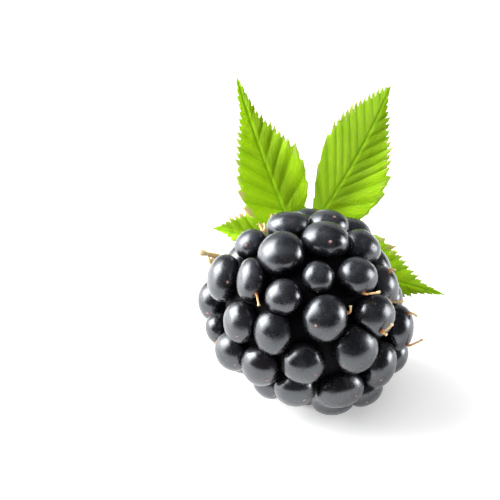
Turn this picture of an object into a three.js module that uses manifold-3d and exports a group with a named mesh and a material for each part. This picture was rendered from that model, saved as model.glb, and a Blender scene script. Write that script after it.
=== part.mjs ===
// A ripe bramble berry lying on its side, as picked: the fruit with its dried styles, the calyx and the
// ring of dried stamens at its stem end, the short stalk, and the leaf whose leaflets rise behind it.
// Millimetres, +Z up. The surface that the fruit rests on is z = 0, and the origin is the middle of
// the flat spot of the lowest drupelet.

import * as THREE from 'three';
import { mergeVertices } from 'three/addons/utils/BufferGeometryUtils.js';
import Module from 'manifold-3d';

const wasm = await Module();
wasm.setup();

// ---- Driving dimensions -------------------------------------------------------------------------

// The fruit, in its own frame: +Z runs along its axis towards the tip.
const CENTRES_ACROSS = 10.0; // half-axis, across the fruit, of the ellipsoid that drupelets sit on
const CENTRES_ALONG = 9.6; // the same along its axis
const CORE_ACROSS = 9.1; // half-axes of the solid heart under the drupelets
const CORE_ALONG = 8.6;
// Rings of drupelets from the tip to the stem end: degrees from the tip, number, first azimuth.
const RINGS = [
  { polar: 26, count: 4, start: 52 },
  { polar: 45, count: 8, start: 11 },
  { polar: 71, count: 12, start: 13 },
  { polar: 98, count: 13, start: 13 },
  { polar: 123, count: 11, start: 16 },
  { polar: 149, count: 6, start: 20 },
];
const SEED = 199915;
const POLAR_JITTER = 8; // degrees
const AZIMUTH_JITTER = 9; // degrees
const CROWDED = 4.8; // neighbours nearer than this push each other away
const PUSH = 0.25; // share of the lack of room made up in one round
const PUSH_ROUNDS = 12;
const NEIGHBOURS = 5; // a drupelet's size follows the distance to this many neighbours
const RADIUS_SHARE = 0.415; // drupelet radius over that distance
const DRUPELET_WIDTH = 1.17; // a drupelet is this much wider than it stands high
const DRUPELET_SIDES = 12;
const DRUPELET_LEVELS = [122, 90, 61, 32]; // degrees from a drupelet's top at which it has a ring
// Drupelets that grew apart from the rule: ring (0 at the tip) and place in it, the shift across and
// up the front of the fruit, how far it stands out, the size over what the spacing gives, and how
// much taller than broad it is, seen from the front.
const GROWN_APART = [
  { ring: 0, place: 0, across: -1.15, up: 1.25, out: 0, size: 1.03, tall: 1.03 },
  { ring: 0, place: 1, across: -0.5, up: -0.8, out: 0, size: 0.97, tall: 1 },
  { ring: 0, place: 2, across: -0.4, up: -0.7, out: 0, size: 0.98, tall: 1 },
  { ring: 0, place: 3, across: -0.55, up: -0.65, out: 0.1, size: 1.1, tall: 0.94 },
  { ring: 1, place: 0, across: 0.2, up: -0.65, out: 0.2, size: 1.02, tall: 1.12 },
  { ring: 1, place: 1, across: -0.6, up: 0.3, out: 0, size: 0.95, tall: 0.98 },
  { ring: 1, place: 2, across: -0.2, up: 0.3, out: 0, size: 1, tall: 1.02 },
  { ring: 1, place: 3, across: -0.1, up: 0.1, out: 0, size: 1.01, tall: 1.08 },
  { ring: 1, place: 4, across: 0.5, up: 0.6, out: 0, size: 1.04, tall: 1.04 },
  { ring: 1, place: 5, across: 0.1, up: 0.6, out: -0.8, size: 0.88, tall: 1 },
  { ring: 1, place: 6, across: 3.2, up: -0.7, out: 0.3, size: 1, tall: 0.94 },
  { ring: 1, place: 7, across: 2.8, up: -3.4, out: 0.9, size: 1, tall: 1 },
  { ring: 2, place: 0, across: 0.8, up: -0.5, out: 0.2, size: 0.97, tall: 1.1 },
  { ring: 2, place: 1, across: 0, up: 1, out: -0.8, size: 0.95, tall: 1.05 },
  { ring: 2, place: 2, across: -0.7, up: 0.2, out: 0, size: 0.93, tall: 0.98 },
  { ring: 2, place: 3, across: -0.6, up: -0.2, out: 0, size: 0.77, tall: 1 },
  { ring: 2, place: 4, across: 0, up: -0.6, out: 0, size: 0.91, tall: 0.98 },
  { ring: 2, place: 5, across: -0.1, up: -0.7, out: 0, size: 0.91, tall: 1.08 },
  { ring: 2, place: 6, across: 0.8, up: -0.5, out: 0, size: 0.97, tall: 1 },
  { ring: 2, place: 7, across: 0.9, up: 0.9, out: -1.3, size: 0.82, tall: 1 },
  { ring: 2, place: 8, across: 0.9, up: 0.8, out: -1.5, size: 0.85, tall: 1 },
  { ring: 2, place: 9, across: 0, up: -2.2, out: 0.2, size: 0.9, tall: 1 },
  { ring: 2, place: 11, across: 2.3, up: -1, out: 1, size: 0.85, tall: 1 },
  { ring: 3, place: 0, across: 0, up: -0.8, out: -0.8, size: 0.95, tall: 1 },
  { ring: 3, place: 1, across: 0.4, up: 0.1, out: -0.85, size: 0.89, tall: 1.06 },
  { ring: 3, place: 2, across: 0.4, up: 0.3, out: 0, size: 0.97, tall: 0.98 },
  { ring: 3, place: 3, across: 0.3, up: 0.6, out: 0, size: 1.05, tall: 0.93 },
  { ring: 3, place: 4, across: 0.05, up: -1, out: 0, size: 1.08, tall: 1.02 },
  { ring: 3, place: 5, across: 1.3, up: -1.3, out: 0, size: 0.84, tall: 1.2 },
  { ring: 3, place: 6, across: -1, up: 3.35, out: 0.2, size: 0.95, tall: 1.12 },
  { ring: 3, place: 7, across: -0.4, up: 0, out: 0, size: 0.72, tall: 1 },
  { ring: 4, place: 2, across: 0.1, up: 0.5, out: 0, size: 1.02, tall: 0.94 },
  { ring: 4, place: 3, across: 0.1, up: 0.5, out: 0, size: 0.94, tall: 0.9 },
  { ring: 4, place: 4, across: 0, up: 0.2, out: 0, size: 0.78, tall: 1 },
  { ring: 4, place: 5, across: 0.5, up: -0.95, out: -1.2, size: 0.85, tall: 1 },
  { ring: 4, place: 6, across: 0, up: -0.1, out: 1.15, size: 0.95, tall: 1 },
  { ring: 5, place: 2, across: 0, up: -0.6, out: -1.4, size: 0.8, tall: 1 },
];

// How the fruit lies.
const TIP_DIRECTION = new THREE.Vector3(0.23, -0.9378, -0.26).normalize();
const CENTRE_HEIGHT = 10.75;
const FLAT_DEPTH = 0.3; // how far the lowest drupelets are pressed flat
const FLOOR_SPAN = 60; // block that cuts the flat spots
const FLOOR_DEPTH = 10;

// Dried styles that are still on. At the front: the drupelet's ring (0 at the tip) and place in it,
// the foot across and up from the drupelet's middle, and the run of the style across, up and out.
const FRONT_STYLES = [
  { ring: 1, place: 1, foot: [0.77, -1.77], run: [1.26, 0.88, 0.5] },
  { ring: 1, place: 1, foot: [0.85, -1.72], run: [0.5, -0.4, 0.4] },
  { ring: 1, place: 2, foot: [2.45, 0.6], run: [0.25, 0.75, 0.1] },
  { ring: 2, place: 0, foot: [1.1, -1.75], run: [1.71, 0.55, 0.3] },
  { ring: 2, place: 0, foot: [1.1, 1.5], run: [1, -0.3, 0] },
  { ring: 2, place: 1, foot: [0.65, -1.5], run: [1.66, -0.1, 0.3] },
  { ring: 2, place: 1, foot: [0.75, 1.6], run: [0.7, 0.05, 0.2] },
  { ring: 2, place: 2, foot: [0.62, -1.7], run: [1.74, 0.08, 0.6] },
  { ring: 3, place: 1, foot: [0.45, -0.3], run: [-0.4, 0.25, 0.5] },
  { ring: 3, place: 5, foot: [0.5, -1.38], run: [0.28, -1.27, 0.5] },
  { ring: 3, place: 7, foot: [-0.1, -1.3], run: [-0.4, -0.2, 0.1] },
];
// Elsewhere: the way that the style bends (degrees from towards the tip) and its length.
const BACK_STYLES = [
  { ring: 3, place: 11, turn: 70, length: 1.6 },
  { ring: 4, place: 7, turn: 300, length: 1.6 },
  { ring: 4, place: 9, turn: 20, length: 1.4 },
  { ring: 4, place: 10, turn: 40, length: 1.7 },
  { ring: 5, place: 4, turn: 150, length: 1.5 },
];
const STYLE_RADIUS = 0.17;
const STYLE_LEAN = 50; // degrees from the drupelet's top towards the tip of the fruit
const STYLE_SUNK = 0.5; // depth of its root in the drupelet
const STYLE_KNEE = 0.2; // height at which it bends
const FOOT_REACH = 1.1; // distance of a front style's foot from the drupelet's middle, in radii
const STYLE_STANCE = 0.6; // how steeply it stands off after the bend
const STYLE_TAPER = [1.5, 1.1, 0.8]; // its radius at the root, the knee and the end

// The calyx and the ring of stamens round the fruit's axis, heights measured towards the tip.
const PLUG_RADIUS = 1.15; // the white heart that reaches into the fruit's hollow end
const PLUG_TOP = -8.9;
const DISC_RADIUS = 2.4;
const DISC_TOP = -11.58;
const DISC_BASE = -12.2;
const SEPALS = 5;
const SEPAL_START = 57; // azimuth of the first sepal, in degrees
const SEPAL_REACH = 3.4; // from the fruit's axis to the sepal's point
const SEPAL_HALF_WIDTH = 0.9;
const SEPAL_THICKNESS = 0.6;
const SEPAL_DROOP = 0.3; // how far the point bends back from the fruit
const SEPAL_STEPS = 7;
const SEPAL_ROOT = 1.32; // distance from the fruit's axis at which a sepal leaves the disc
const SEPAL_POINT_WIDTH = 0.12; // half-width left at the very point
const SEPAL_SPREAD = 0.3; // share of its outline that is already behind the root
const RING_INNER = 1.5;
const RING_OUTER = 2.4;
const RING_TOP = -10.95;
const RING_BASE = -11.25;
const STAMENS_A_GAP = 2;
const STAMEN_SPREAD = 9; // degrees between the stamens of one gap
const STAMEN_RADIUS = 0.17;
const STAMEN_REACH = 2.9; // from the fruit's axis to the nearest anther
const STAMEN_BEND = 2.7; // distance from the fruit's axis at which a stamen turns down
const STAMEN_STAGGER = 0.3; // anthers stand at three distances, this far apart
const STAMEN_DROP = 0.7; // how far the anthers hang behind the ring
const ANTHER_RADIUS = 0.28;
// The long tuft that comes out from behind the fruit: places across, up and out in the leaf's
// directions, measured from the middle of the fruit.
const TUFT_RADIUS = 0.24;
const BULB_RADIUS = 0.36;
const TUFT = [
  [-4.2, 8.8, -5.95], [-5.6, 8.4, -5.9], [-7, 7.1, -7.6], [-8.6, 5.75, -7.3], [-9.8, 5.75, -6.1],
  [-10.45, 6.3, -5.3], [-11.7, 6.4, -4.6],
];
const TUFT_SIDE = [[-10.3, 6.1, -5.5], [-10.4, 5.6, -5.4], [-10.5, 4.95, -5.2]];

// The stalk, from under the calyx through the knot of the leaflets to the cut end. World places.
const STALK_RADIUS = 0.75;
const STALK_GAP = 0.45; // clear space under the calyx
const STALK_STRAIGHT = 1.5; // it leaves the calyx straight for this far
const STALK_OVER_KNOT = [0, 2.5, 2.1]; // it comes down to the knot past here, in the leaf's axes
const STALK_SAG = new THREE.Vector3(0, 0.5, 0.2); // bend of its lower run
const STALK_STEPS = 26;
const KNOT_RADIUS = 1.25;
const KNOT = new THREE.Vector3(-0.83, 15.0, 8.66);
const CUT_END = new THREE.Vector3(-2.2, 20.2, 1.6);

// The leaf. Its leaflets spread in one plane that leans back from upright.
const LEAF_LEAN = 35; // degrees
const BLADE_THICKNESS = 0.64;
const MIDRIB_DEPTH = 0.35; // how far the rib stands out of the underside
const MIDRIB_TAPER = 0.7; // share of that depth lost by the leaflet's point
const PLEAT = 0.24; // rise of the blade between two side veins
const PLEAT_START = 0.8; // distance from the midrib at which a pleat is at its full height
const BLADE_FOLD = 9; // degrees that each half rises from the midrib
const VEIN_SLANT = 1.15; // forward run of a side vein over its run outwards
const VEIN_FAN = 0.25; // share of the length over which the veins turn from square to slanted
const TOOTH = 0.46;
const TOOTH_SHARE = 0.3; // most that a tooth takes of the blade's half-width
const TOOTH_LEAN = 0.5; // how far a tooth's point leans forward over its height
const PETIOLULE_HALF_WIDTH = 0.42;
const POINT_HALF_WIDTH = 0.15;
const POINT_SHARE = 0.92; // share of the length after which the blade may be that narrow
const POINT_SLOPE = 0.2; // half-width of the long point over the distance to its end
const LEAFLET_GAP = 0.5; // clear space between the knot and a leaflet's stalk
const COLUMN_PLACES = [0, 0.16, 0.45, 0.75, 1]; // columns of a half-blade, midrib to edge
const EDGE_ROUNDS = 12; // rounds that find where a slanted vein meets the outline
// turn: degrees clockwise from straight up the leaf. bow: sideways bend of the midrib.
// arch: rise of its middle out of the leaf plane. lift: degrees that the leaflet leans forward.
// Each half has its greatest width, that width's share of the length, and how fast it narrows on.
const LEAFLETS = [
  { name: 'leaflet_upper_left', turn: -19.7, start: 2.1, length: 18.9, teeth: 18,
    left: { width: 3.9, widest: 0.28, taper: 1.7 }, right: { width: 4.1, widest: 0.38, taper: 2.6 },
    bow: -0.3, arch: 0.5, lift: 2 },
  { name: 'leaflet_upper_right', turn: 29.7, start: 2.2, length: 19.2, teeth: 18,
    left: { width: 3.9, widest: 0.52, taper: 1.15 }, right: { width: 4.8, widest: 0.38, taper: 1.6 },
    bow: 0.55, arch: 0.6, lift: -2 },
  { name: 'leaflet_lower_right', turn: 107.4, start: 1.9, length: 15.7, teeth: 15,
    left: { width: 4.3, widest: 0.36, taper: 2.2 }, right: { width: 2.9, widest: 0.42, taper: 1.9 },
    bow: 0.15, arch: 0.4, lift: 0 },
  { name: 'leaflet_lower_left', turn: -76.5, start: 2.1, length: 8.3, teeth: 9,
    left: { width: 2.0, widest: 0.36, taper: 2.2 }, right: { width: 2.3, widest: 0.42, taper: 1.8 },
    bow: 0.1, arch: 0.2, lift: -13 },
];

// ---- Materials ----------------------------------------------------------------------------------

function finish(hex, roughness) {
  return new THREE.MeshStandardMaterial({ color: hex, roughness, metalness: 0 });
}

const MATERIALS = {
  berry: finish(0x14131a, 0.3),
  dried_stamens: finish(0xd8c08c, 0.8),
  calyx: finish(0x8f9a55, 0.8),
  stalk: finish(0x86a83a, 0.6),
  leaf: finish(0x83b81f, 0.5),
};

// ---- Solids -------------------------------------------------------------------------------------

function solidFrom(geometry) {
  const bare = geometry.clone();
  bare.deleteAttribute('normal');
  bare.deleteAttribute('uv');
  const merged = mergeVertices(bare, 1e-5);
  return new wasm.Manifold(new wasm.Mesh({
    numProp: 3,
    vertProperties: new Float32Array(merged.attributes.position.array),
    triVerts: new Uint32Array(merged.index.array),
  }));
}

function geometryFrom(solid) {
  const mesh = solid.getMesh();
  const geometry = new THREE.BufferGeometry();
  geometry.setAttribute('position', new THREE.BufferAttribute(mesh.vertProperties, 3));
  geometry.setIndex(new THREE.BufferAttribute(mesh.triVerts, 1));
  geometry.computeVertexNormals();
  return geometry;
}

// Joins solids and keeps the one body that they make, without scraps or sealed pockets.
function fuse(solids) {
  const joined = wasm.Manifold.union(solids);
  const bodies = joined.decompose();
  return bodies.reduce((best, body) => (body.volume() > best.volume() ? body : best));
}

// A closed skin over rings of points, each ring counter-clockwise seen from the last one.
function loft(rings) {
  const sides = rings[0].length;
  const positions = rings.flat().flatMap((point) => [point.x, point.y, point.z]);
  const index = [];
  for (let ring = 0; ring < rings.length - 1; ring += 1) {
    for (let side = 0; side < sides; side += 1) {
      const a = ring * sides + side;
      const b = ring * sides + ((side + 1) % sides);
      index.push(a, b, b + sides, a, b + sides, a + sides);
    }
  }
  const last = (rings.length - 1) * sides;
  for (let side = 1; side < sides - 1; side += 1) {
    index.push(0, side + 1, side);
    index.push(last, last + side, last + side + 1);
  }
  const geometry = new THREE.BufferGeometry();
  geometry.setAttribute('position', new THREE.Float32BufferAttribute(positions, 3));
  geometry.setIndex(index);
  return geometry;
}

// A thin three-sided rod along a line of points, with a radius at each.
function rod(points, radii) {
  const rings = points.map((point, at) => {
    const before = points[Math.max(at - 1, 0)];
    const after = points[Math.min(at + 1, points.length - 1)];
    const along = after.clone().sub(before).normalize();
    const turn = new THREE.Quaternion().setFromUnitVectors(new THREE.Vector3(0, 0, 1), along);
    return [0, 1, 2].map((side) => {
      const angle = (side * 2 * Math.PI) / 3;
      const spoke = new THREE.Vector3(Math.cos(angle), Math.sin(angle), 0).multiplyScalar(radii[at]);
      return spoke.applyQuaternion(turn).add(point);
    });
  });
  return solidFrom(loft(rings));
}

// ---- The fruit ----------------------------------------------------------------------------------

// A small seeded generator, so that every run places the same drupelets.
function randomFrom(seed) {
  let state = seed >>> 0;
  return () => {
    state = (state + 0x6d2b79f5) >>> 0;
    let mixed = state;
    mixed = Math.imul(mixed ^ (mixed >>> 15), mixed | 1);
    mixed ^= mixed + Math.imul(mixed ^ (mixed >>> 7), mixed | 61);
    return ((mixed ^ (mixed >>> 14)) >>> 0) / 4294967296;
  };
}

function onCentres(point) {
  return point.multiplyScalar(1 / Math.hypot(
    point.x / CENTRES_ACROSS, point.y / CENTRES_ACROSS, point.z / CENTRES_ALONG));
}

// Rings with seeded scatter, then rounds in which crowded neighbours push each other away.
function placeDrupelets() {
  const random = randomFrom(SEED);
  const drupelets = [];
  RINGS.forEach((ring, ringNumber) => {
    for (let place = 0; place < ring.count; place += 1) {
      const polar = ring.polar + POLAR_JITTER * (2 * random() - 1);
      const azimuth = ring.start + (360 * place) / ring.count + AZIMUTH_JITTER * (2 * random() - 1);
      const centre = new THREE.Vector3().setFromSphericalCoords(
        1, THREE.MathUtils.degToRad(polar), THREE.MathUtils.degToRad(azimuth));
      // three.js measures the polar angle from +Y: turn that frame so that the tip is +Z.
      const upright = new THREE.Vector3(centre.z, centre.x, centre.y);
      upright.multiply(new THREE.Vector3(CENTRES_ACROSS, CENTRES_ACROSS, CENTRES_ALONG));
      drupelets.push({ ring: ringNumber, place, centre: upright });
    }
  });
  for (let round = 0; round < PUSH_ROUNDS; round += 1) {
    const moved = drupelets.map((drupelet) => {
      const centre = drupelet.centre.clone();
      for (const other of drupelets) {
        const distance = drupelet.centre.distanceTo(other.centre);
        if (other !== drupelet && distance < CROWDED) {
          const share = (PUSH * (CROWDED - distance)) / distance;
          centre.addScaledVector(drupelet.centre.clone().sub(other.centre), share);
        }
      }
      return onCentres(centre);
    });
    drupelets.forEach((drupelet, index) => {
      drupelet.centre = moved[index];
    });
  }
  return drupelets;
}

const upwards = new THREE.Vector3(0, 0, 1);
const lie = new THREE.Quaternion().setFromUnitVectors(upwards, TIP_DIRECTION);
const fruitCentre = new THREE.Vector3(0, 0, CENTRE_HEIGHT);

// The front of the fruit and the leaf share these axes: across, up, and out towards the front.
const lean = THREE.MathUtils.degToRad(LEAF_LEAN);
const ACROSS = new THREE.Vector3(1, 0, 0);
const RISE = new THREE.Vector3(0, Math.sin(lean), Math.cos(lean));
const FACE = new THREE.Vector3(0, -Math.cos(lean), Math.sin(lean));

function leaned(origin, across, rise, face) {
  return origin.clone().addScaledVector(ACROSS, across).addScaledVector(RISE, rise)
    .addScaledVector(FACE, face);
}

function findDrupelet(drupelets, { ring, place }) {
  return drupelets.find((each) => each.ring === ring && each.place === place);
}

function shiftDrupelets(drupelets) {
  const unlie = lie.clone().invert();
  for (const grown of GROWN_APART) {
    const drupelet = findDrupelet(drupelets, grown);
    const shift = leaned(new THREE.Vector3(), grown.across, grown.up, 0).applyQuaternion(unlie);
    const centre = onCentres(drupelet.centre.add(shift));
    drupelet.centre = centre.setLength(centre.length() + grown.out);
    drupelet.size = grown.size;
    drupelet.tall = grown.tall;
  }
}

function sizeDrupelets(drupelets) {
  for (const drupelet of drupelets) {
    const distances = drupelets
      .filter((other) => other !== drupelet)
      .map((other) => other.centre.distanceTo(drupelet.centre))
      .sort((a, b) => a - b)
      .slice(0, NEIGHBOURS);
    const mean = distances.reduce((sum, distance) => sum + distance, 0) / NEIGHBOURS;
    drupelet.radius = RADIUS_SHARE * mean * (drupelet.size ?? 1);
  }
}

function toWorld(point) {
  return point.clone().applyQuaternion(lie).add(fruitCentre);
}

// Lays the fruit down: a drupelet that would sink deeper than its flat spot is pushed up.
function settleDrupelets(drupelets) {
  for (const drupelet of drupelets) {
    drupelet.outward = drupelet.centre.clone().normalize().applyQuaternion(lie);
    drupelet.middle = toWorld(drupelet.centre);
    drupelet.middle.z = Math.max(drupelet.middle.z, drupelet.radius - FLAT_DEPTH);
  }
}

// How far a drupelet's skin is from its middle in a direction.
function skinDistance(drupelet, direction) {
  const upright = direction.dot(drupelet.outward) ** 2;
  const wide = drupelet.radius * DRUPELET_WIDTH;
  const tall = drupelet.tall ?? 1;
  const stretch = (direction.dot(ACROSS) * tall) ** 2 + (direction.dot(RISE) / tall) ** 2
    + direction.dot(FACE) ** 2;
  return 1 / Math.sqrt(stretch * (upright / drupelet.radius ** 2 + (1 - upright) / wide ** 2));
}

function styleSolid(drupelet, foot, run) {
  const skin = skinDistance(drupelet, foot);
  const root = drupelet.middle.clone().addScaledVector(foot, skin - STYLE_SUNK);
  const knee = drupelet.middle.clone().addScaledVector(foot, skin + STYLE_KNEE);
  const end = drupelet.middle.clone().addScaledVector(foot, skin).add(run);
  return rod([root, knee, end], STYLE_TAPER.map((share) => STYLE_RADIUS * share));
}

function frontStyle(drupelet, { foot: [across, up], run }) {
  const reach = FOOT_REACH * drupelet.radius;
  const out = Math.sqrt(Math.max(0, reach ** 2 - across ** 2 - up ** 2));
  const foot = leaned(new THREE.Vector3(), across, up, out).normalize();
  return styleSolid(drupelet, foot, leaned(new THREE.Vector3(), ...run));
}

// A style that springs from the tipward side of its drupelet's top and bends as it goes.
function backStyle(drupelet, { turn, length }) {
  const tipward = TIP_DIRECTION.clone().addScaledVector(
    drupelet.outward, -TIP_DIRECTION.dot(drupelet.outward)).normalize();
  const slope = THREE.MathUtils.degToRad(STYLE_LEAN);
  const foot = drupelet.outward.clone().multiplyScalar(Math.cos(slope))
    .addScaledVector(tipward, Math.sin(slope));
  const sideways = foot.clone().cross(tipward).normalize();
  const swing = THREE.MathUtils.degToRad(turn);
  const bend = tipward.clone().multiplyScalar(Math.cos(swing))
    .addScaledVector(sideways, Math.sin(swing)).addScaledVector(foot, STYLE_STANCE);
  return styleSolid(drupelet, foot, bend.setLength(length));
}

// A round head on a root that narrows towards the middle of the fruit.
function drupeletSolid(drupelet) {
  const profile = [new THREE.Vector2(0, -drupelet.radius)];
  for (const fromTop of DRUPELET_LEVELS) {
    const angle = THREE.MathUtils.degToRad(fromTop);
    profile.push(new THREE.Vector2(
      drupelet.radius * DRUPELET_WIDTH * Math.sin(angle), drupelet.radius * Math.cos(angle)));
  }
  profile.push(new THREE.Vector2(0, drupelet.radius));
  const head = new THREE.LatheGeometry(profile, DRUPELET_SIDES);
  const upright = new THREE.Vector3(0, 1, 0);
  head.applyQuaternion(new THREE.Quaternion().setFromUnitVectors(upright, drupelet.outward));
  const tall = drupelet.tall ?? 1;
  const front = new THREE.Matrix4().makeBasis(ACROSS, RISE, FACE);
  head.applyMatrix4(front.clone().invert());
  head.scale(1 / tall, tall, 1);
  head.applyMatrix4(front);
  head.translate(drupelet.middle.x, drupelet.middle.y, drupelet.middle.z);
  return solidFrom(head);
}

function berrySolid(drupelets) {
  const core = new THREE.SphereGeometry(1, 12, 8);
  core.scale(CORE_ACROSS, CORE_ALONG, CORE_ACROSS);
  core.rotateX(Math.PI / 2);
  core.applyQuaternion(lie);
  core.translate(fruitCentre.x, fruitCentre.y, fruitCentre.z);
  const solids = [solidFrom(core)];
  for (const drupelet of drupelets) {
    solids.push(drupeletSolid(drupelet));
  }
  for (const style of FRONT_STYLES) {
    solids.push(frontStyle(findDrupelet(drupelets, style), style));
  }
  for (const style of BACK_STYLES) {
    solids.push(backStyle(findDrupelet(drupelets, style), style));
  }
  const floor = new THREE.BoxGeometry(FLOOR_SPAN, FLOOR_SPAN, FLOOR_DEPTH);
  floor.translate(0, 0, -FLOOR_DEPTH / 2);
  return fuse([fuse(solids).subtract(solidFrom(floor))]);
}

// ---- Calyx and stamens --------------------------------------------------------------------------

// A point of the fruit's frame given by its azimuth, distance from the axis and height.
function fruitPoint(azimuth, distance, height) {
  const angle = THREE.MathUtils.degToRad(azimuth);
  return toWorld(new THREE.Vector3(distance * Math.cos(angle), distance * Math.sin(angle), height));
}

function turned(profile, segments) {
  const geometry = new THREE.LatheGeometry(
    profile.map(([distance, height]) => new THREE.Vector2(distance, height)), segments);
  geometry.rotateX(Math.PI / 2);
  geometry.applyQuaternion(lie);
  geometry.translate(fruitCentre.x, fruitCentre.y, fruitCentre.z);
  return solidFrom(geometry);
}

// A pointed lens of a blade that leaves the calyx's rim and bends back.
function sepal(azimuth) {
  const rings = [];
  for (let step = 0; step <= SEPAL_STEPS; step += 1) {
    const share = step / SEPAL_STEPS;
    const distance = THREE.MathUtils.lerp(SEPAL_ROOT, SEPAL_REACH, share);
    const height = DISC_BASE + SEPAL_THICKNESS / 2 - SEPAL_DROOP * share ** 2;
    const outline = THREE.MathUtils.lerp(SEPAL_SPREAD, 1, share);
    const halfWidth = SEPAL_POINT_WIDTH + SEPAL_HALF_WIDTH * Math.sin(Math.PI * outline);
    const swing = THREE.MathUtils.radToDeg(Math.atan2(halfWidth, distance));
    const span = Math.hypot(halfWidth, distance);
    const half = SEPAL_THICKNESS / 2;
    rings.push([
      fruitPoint(azimuth - swing, span, height - half),
      fruitPoint(azimuth + swing, span, height - half),
      fruitPoint(azimuth + swing, span, height + half),
      fruitPoint(azimuth - swing, span, height + half),
    ]);
  }
  return solidFrom(loft(rings));
}

function calyxSolid() {
  const disc = turned([
    [0, DISC_BASE], [DISC_RADIUS, DISC_BASE], [DISC_RADIUS, DISC_TOP],
    [PLUG_RADIUS, DISC_TOP], [PLUG_RADIUS, PLUG_TOP], [0, PLUG_TOP],
  ], 20);
  const sepals = [];
  for (let number = 0; number < SEPALS; number += 1) {
    sepals.push(sepal(SEPAL_START + (360 * number) / SEPALS));
  }
  return fuse([disc, ...sepals]);
}

function stamenSolid() {
  const ring = turned([
    [RING_INNER, RING_BASE], [RING_OUTER, RING_BASE], [RING_OUTER, RING_TOP],
    [RING_INNER, RING_TOP], [RING_INNER, RING_BASE],
  ], 24);
  const solids = [ring];
  const middle = (RING_INNER + RING_OUTER) / 2;
  for (let gap = 0; gap < SEPALS; gap += 1) {
    for (let number = 0; number < STAMENS_A_GAP; number += 1) {
      const azimuth = SEPAL_START + (360 * (gap + 0.5)) / SEPALS
        + STAMEN_SPREAD * (number - (STAMENS_A_GAP - 1) / 2);
      const reach = STAMEN_REACH + STAMEN_STAGGER * ((gap + number) % 3);
      const end = fruitPoint(azimuth, reach, RING_BASE - STAMEN_DROP);
      solids.push(rod([
        fruitPoint(azimuth, middle, RING_BASE + STAMEN_RADIUS),
        fruitPoint(azimuth, STAMEN_BEND, RING_BASE + STAMEN_RADIUS / 2),
        end,
      ], [STAMEN_RADIUS, STAMEN_RADIUS, STAMEN_RADIUS]));
      const anther = new THREE.IcosahedronGeometry(ANTHER_RADIUS, 0);
      anther.translate(end.x, end.y, end.z);
      solids.push(solidFrom(anther));
    }
  }
  for (const line of [TUFT, TUFT_SIDE]) {
    const points = line.map((place) => leaned(fruitCentre, ...place));
    solids.push(rod(points, points.map(() => TUFT_RADIUS)));
  }
  const bulb = new THREE.IcosahedronGeometry(BULB_RADIUS, 1);
  const bulbPlace = leaned(fruitCentre, ...TUFT.at(-1));
  bulb.translate(bulbPlace.x, bulbPlace.y, bulbPlace.z);
  solids.push(solidFrom(bulb));
  return fuse(solids);
}

// ---- Stalk --------------------------------------------------------------------------------------

function stalkSolid() {
  const path = new THREE.CatmullRomCurve3([
    fruitPoint(0, 0, DISC_BASE - STALK_GAP),
    fruitPoint(0, 0, DISC_BASE - STALK_STRAIGHT),
    leaned(KNOT, ...STALK_OVER_KNOT),
    KNOT,
    KNOT.clone().lerp(CUT_END, 0.5).add(STALK_SAG),
    CUT_END,
  ]);
  const section = new THREE.Shape();
  section.absarc(0, 0, STALK_RADIUS, 0, 2 * Math.PI);
  const tube = new THREE.ExtrudeGeometry(section, {
    steps: STALK_STEPS, curveSegments: 5, bevelEnabled: false, extrudePath: path,
  });
  const knot = new THREE.IcosahedronGeometry(KNOT_RADIUS, 1);
  knot.translate(KNOT.x, KNOT.y, KNOT.z);
  return fuse([solidFrom(tube), solidFrom(knot)]);
}

// ---- Leaflets -----------------------------------------------------------------------------------

// Half-width of a blade, from its base (0) to its long point (1).
function halfWidth(leaflet, side, share) {
  const inside = THREE.MathUtils.clamp(share, 0, 1);
  const stretch = Math.log(0.5) / Math.log(side.widest);
  if (inside < side.widest) {
    return side.width * Math.max(0, Math.sin(Math.PI * inside ** stretch));
  }
  const narrowed = side.width * Math.max(0, Math.sin(Math.PI * inside ** stretch)) ** side.taper;
  return Math.max(narrowed, POINT_SLOPE * leaflet.length * (1 - inside));
}

// One line of points from the left edge to the right, along two opposite side veins.
function bladeLine(leaflet, start, isTooth, isRidge) {
  const share = start / leaflet.length;
  const slant = VEIN_SLANT * THREE.MathUtils.clamp(share / VEIN_FAN, 0, 1);
  const least = share > POINT_SHARE ? POINT_HALF_WIDTH : PETIOLULE_HALF_WIDTH;
  const outermost = COLUMN_PLACES.length - 1;
  const points = [];
  for (let column = -outermost; column <= outermost; column += 1) {
    const side = column < 0 ? leaflet.left : leaflet.right;
    let reach = halfWidth(leaflet, side, share);
    for (let round = 0; round < EDGE_ROUNDS; round += 1) {
      reach = (reach + halfWidth(leaflet, side, (start + slant * reach) / leaflet.length)) / 2;
    }
    const tooth = Math.min(TOOTH, TOOTH_SHARE * reach);
    const edge = Math.max(reach + (isTooth ? 0.6 : -0.4) * tooth, least);
    const x = edge * COLUMN_PLACES[Math.abs(column)];
    const ahead = isTooth && Math.abs(column) === outermost ? TOOTH_LEAN * tooth : 0;
    const pleat = (isRidge ? 0.5 : -0.5) * PLEAT * Math.min(1, x / PLEAT_START);
    points.push({
      x: Math.sign(column) * x,
      s: Math.min(start + slant * x + ahead, leaflet.length),
      rise: Math.tan(THREE.MathUtils.degToRad(BLADE_FOLD)) * x + pleat,
      isRib: column === 0,
    });
  }
  return points;
}

// The lines of a leaflet: two over its own short stalk, then one at every tooth and notch.
function bladeLines(leaflet) {
  const petiolule = leaflet.start - KNOT_RADIUS - LEAFLET_GAP;
  const lines = [-petiolule, -petiolule / 2].map(
    (start) => bladeLine(leaflet, start, false, false));
  for (let number = 0; number <= 2 * leaflet.teeth; number += 1) {
    const start = (leaflet.length * number) / (2 * leaflet.teeth);
    lines.push(bladeLine(leaflet, start, number % 2 === 0, number % 4 === 2));
  }
  return lines;
}

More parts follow.
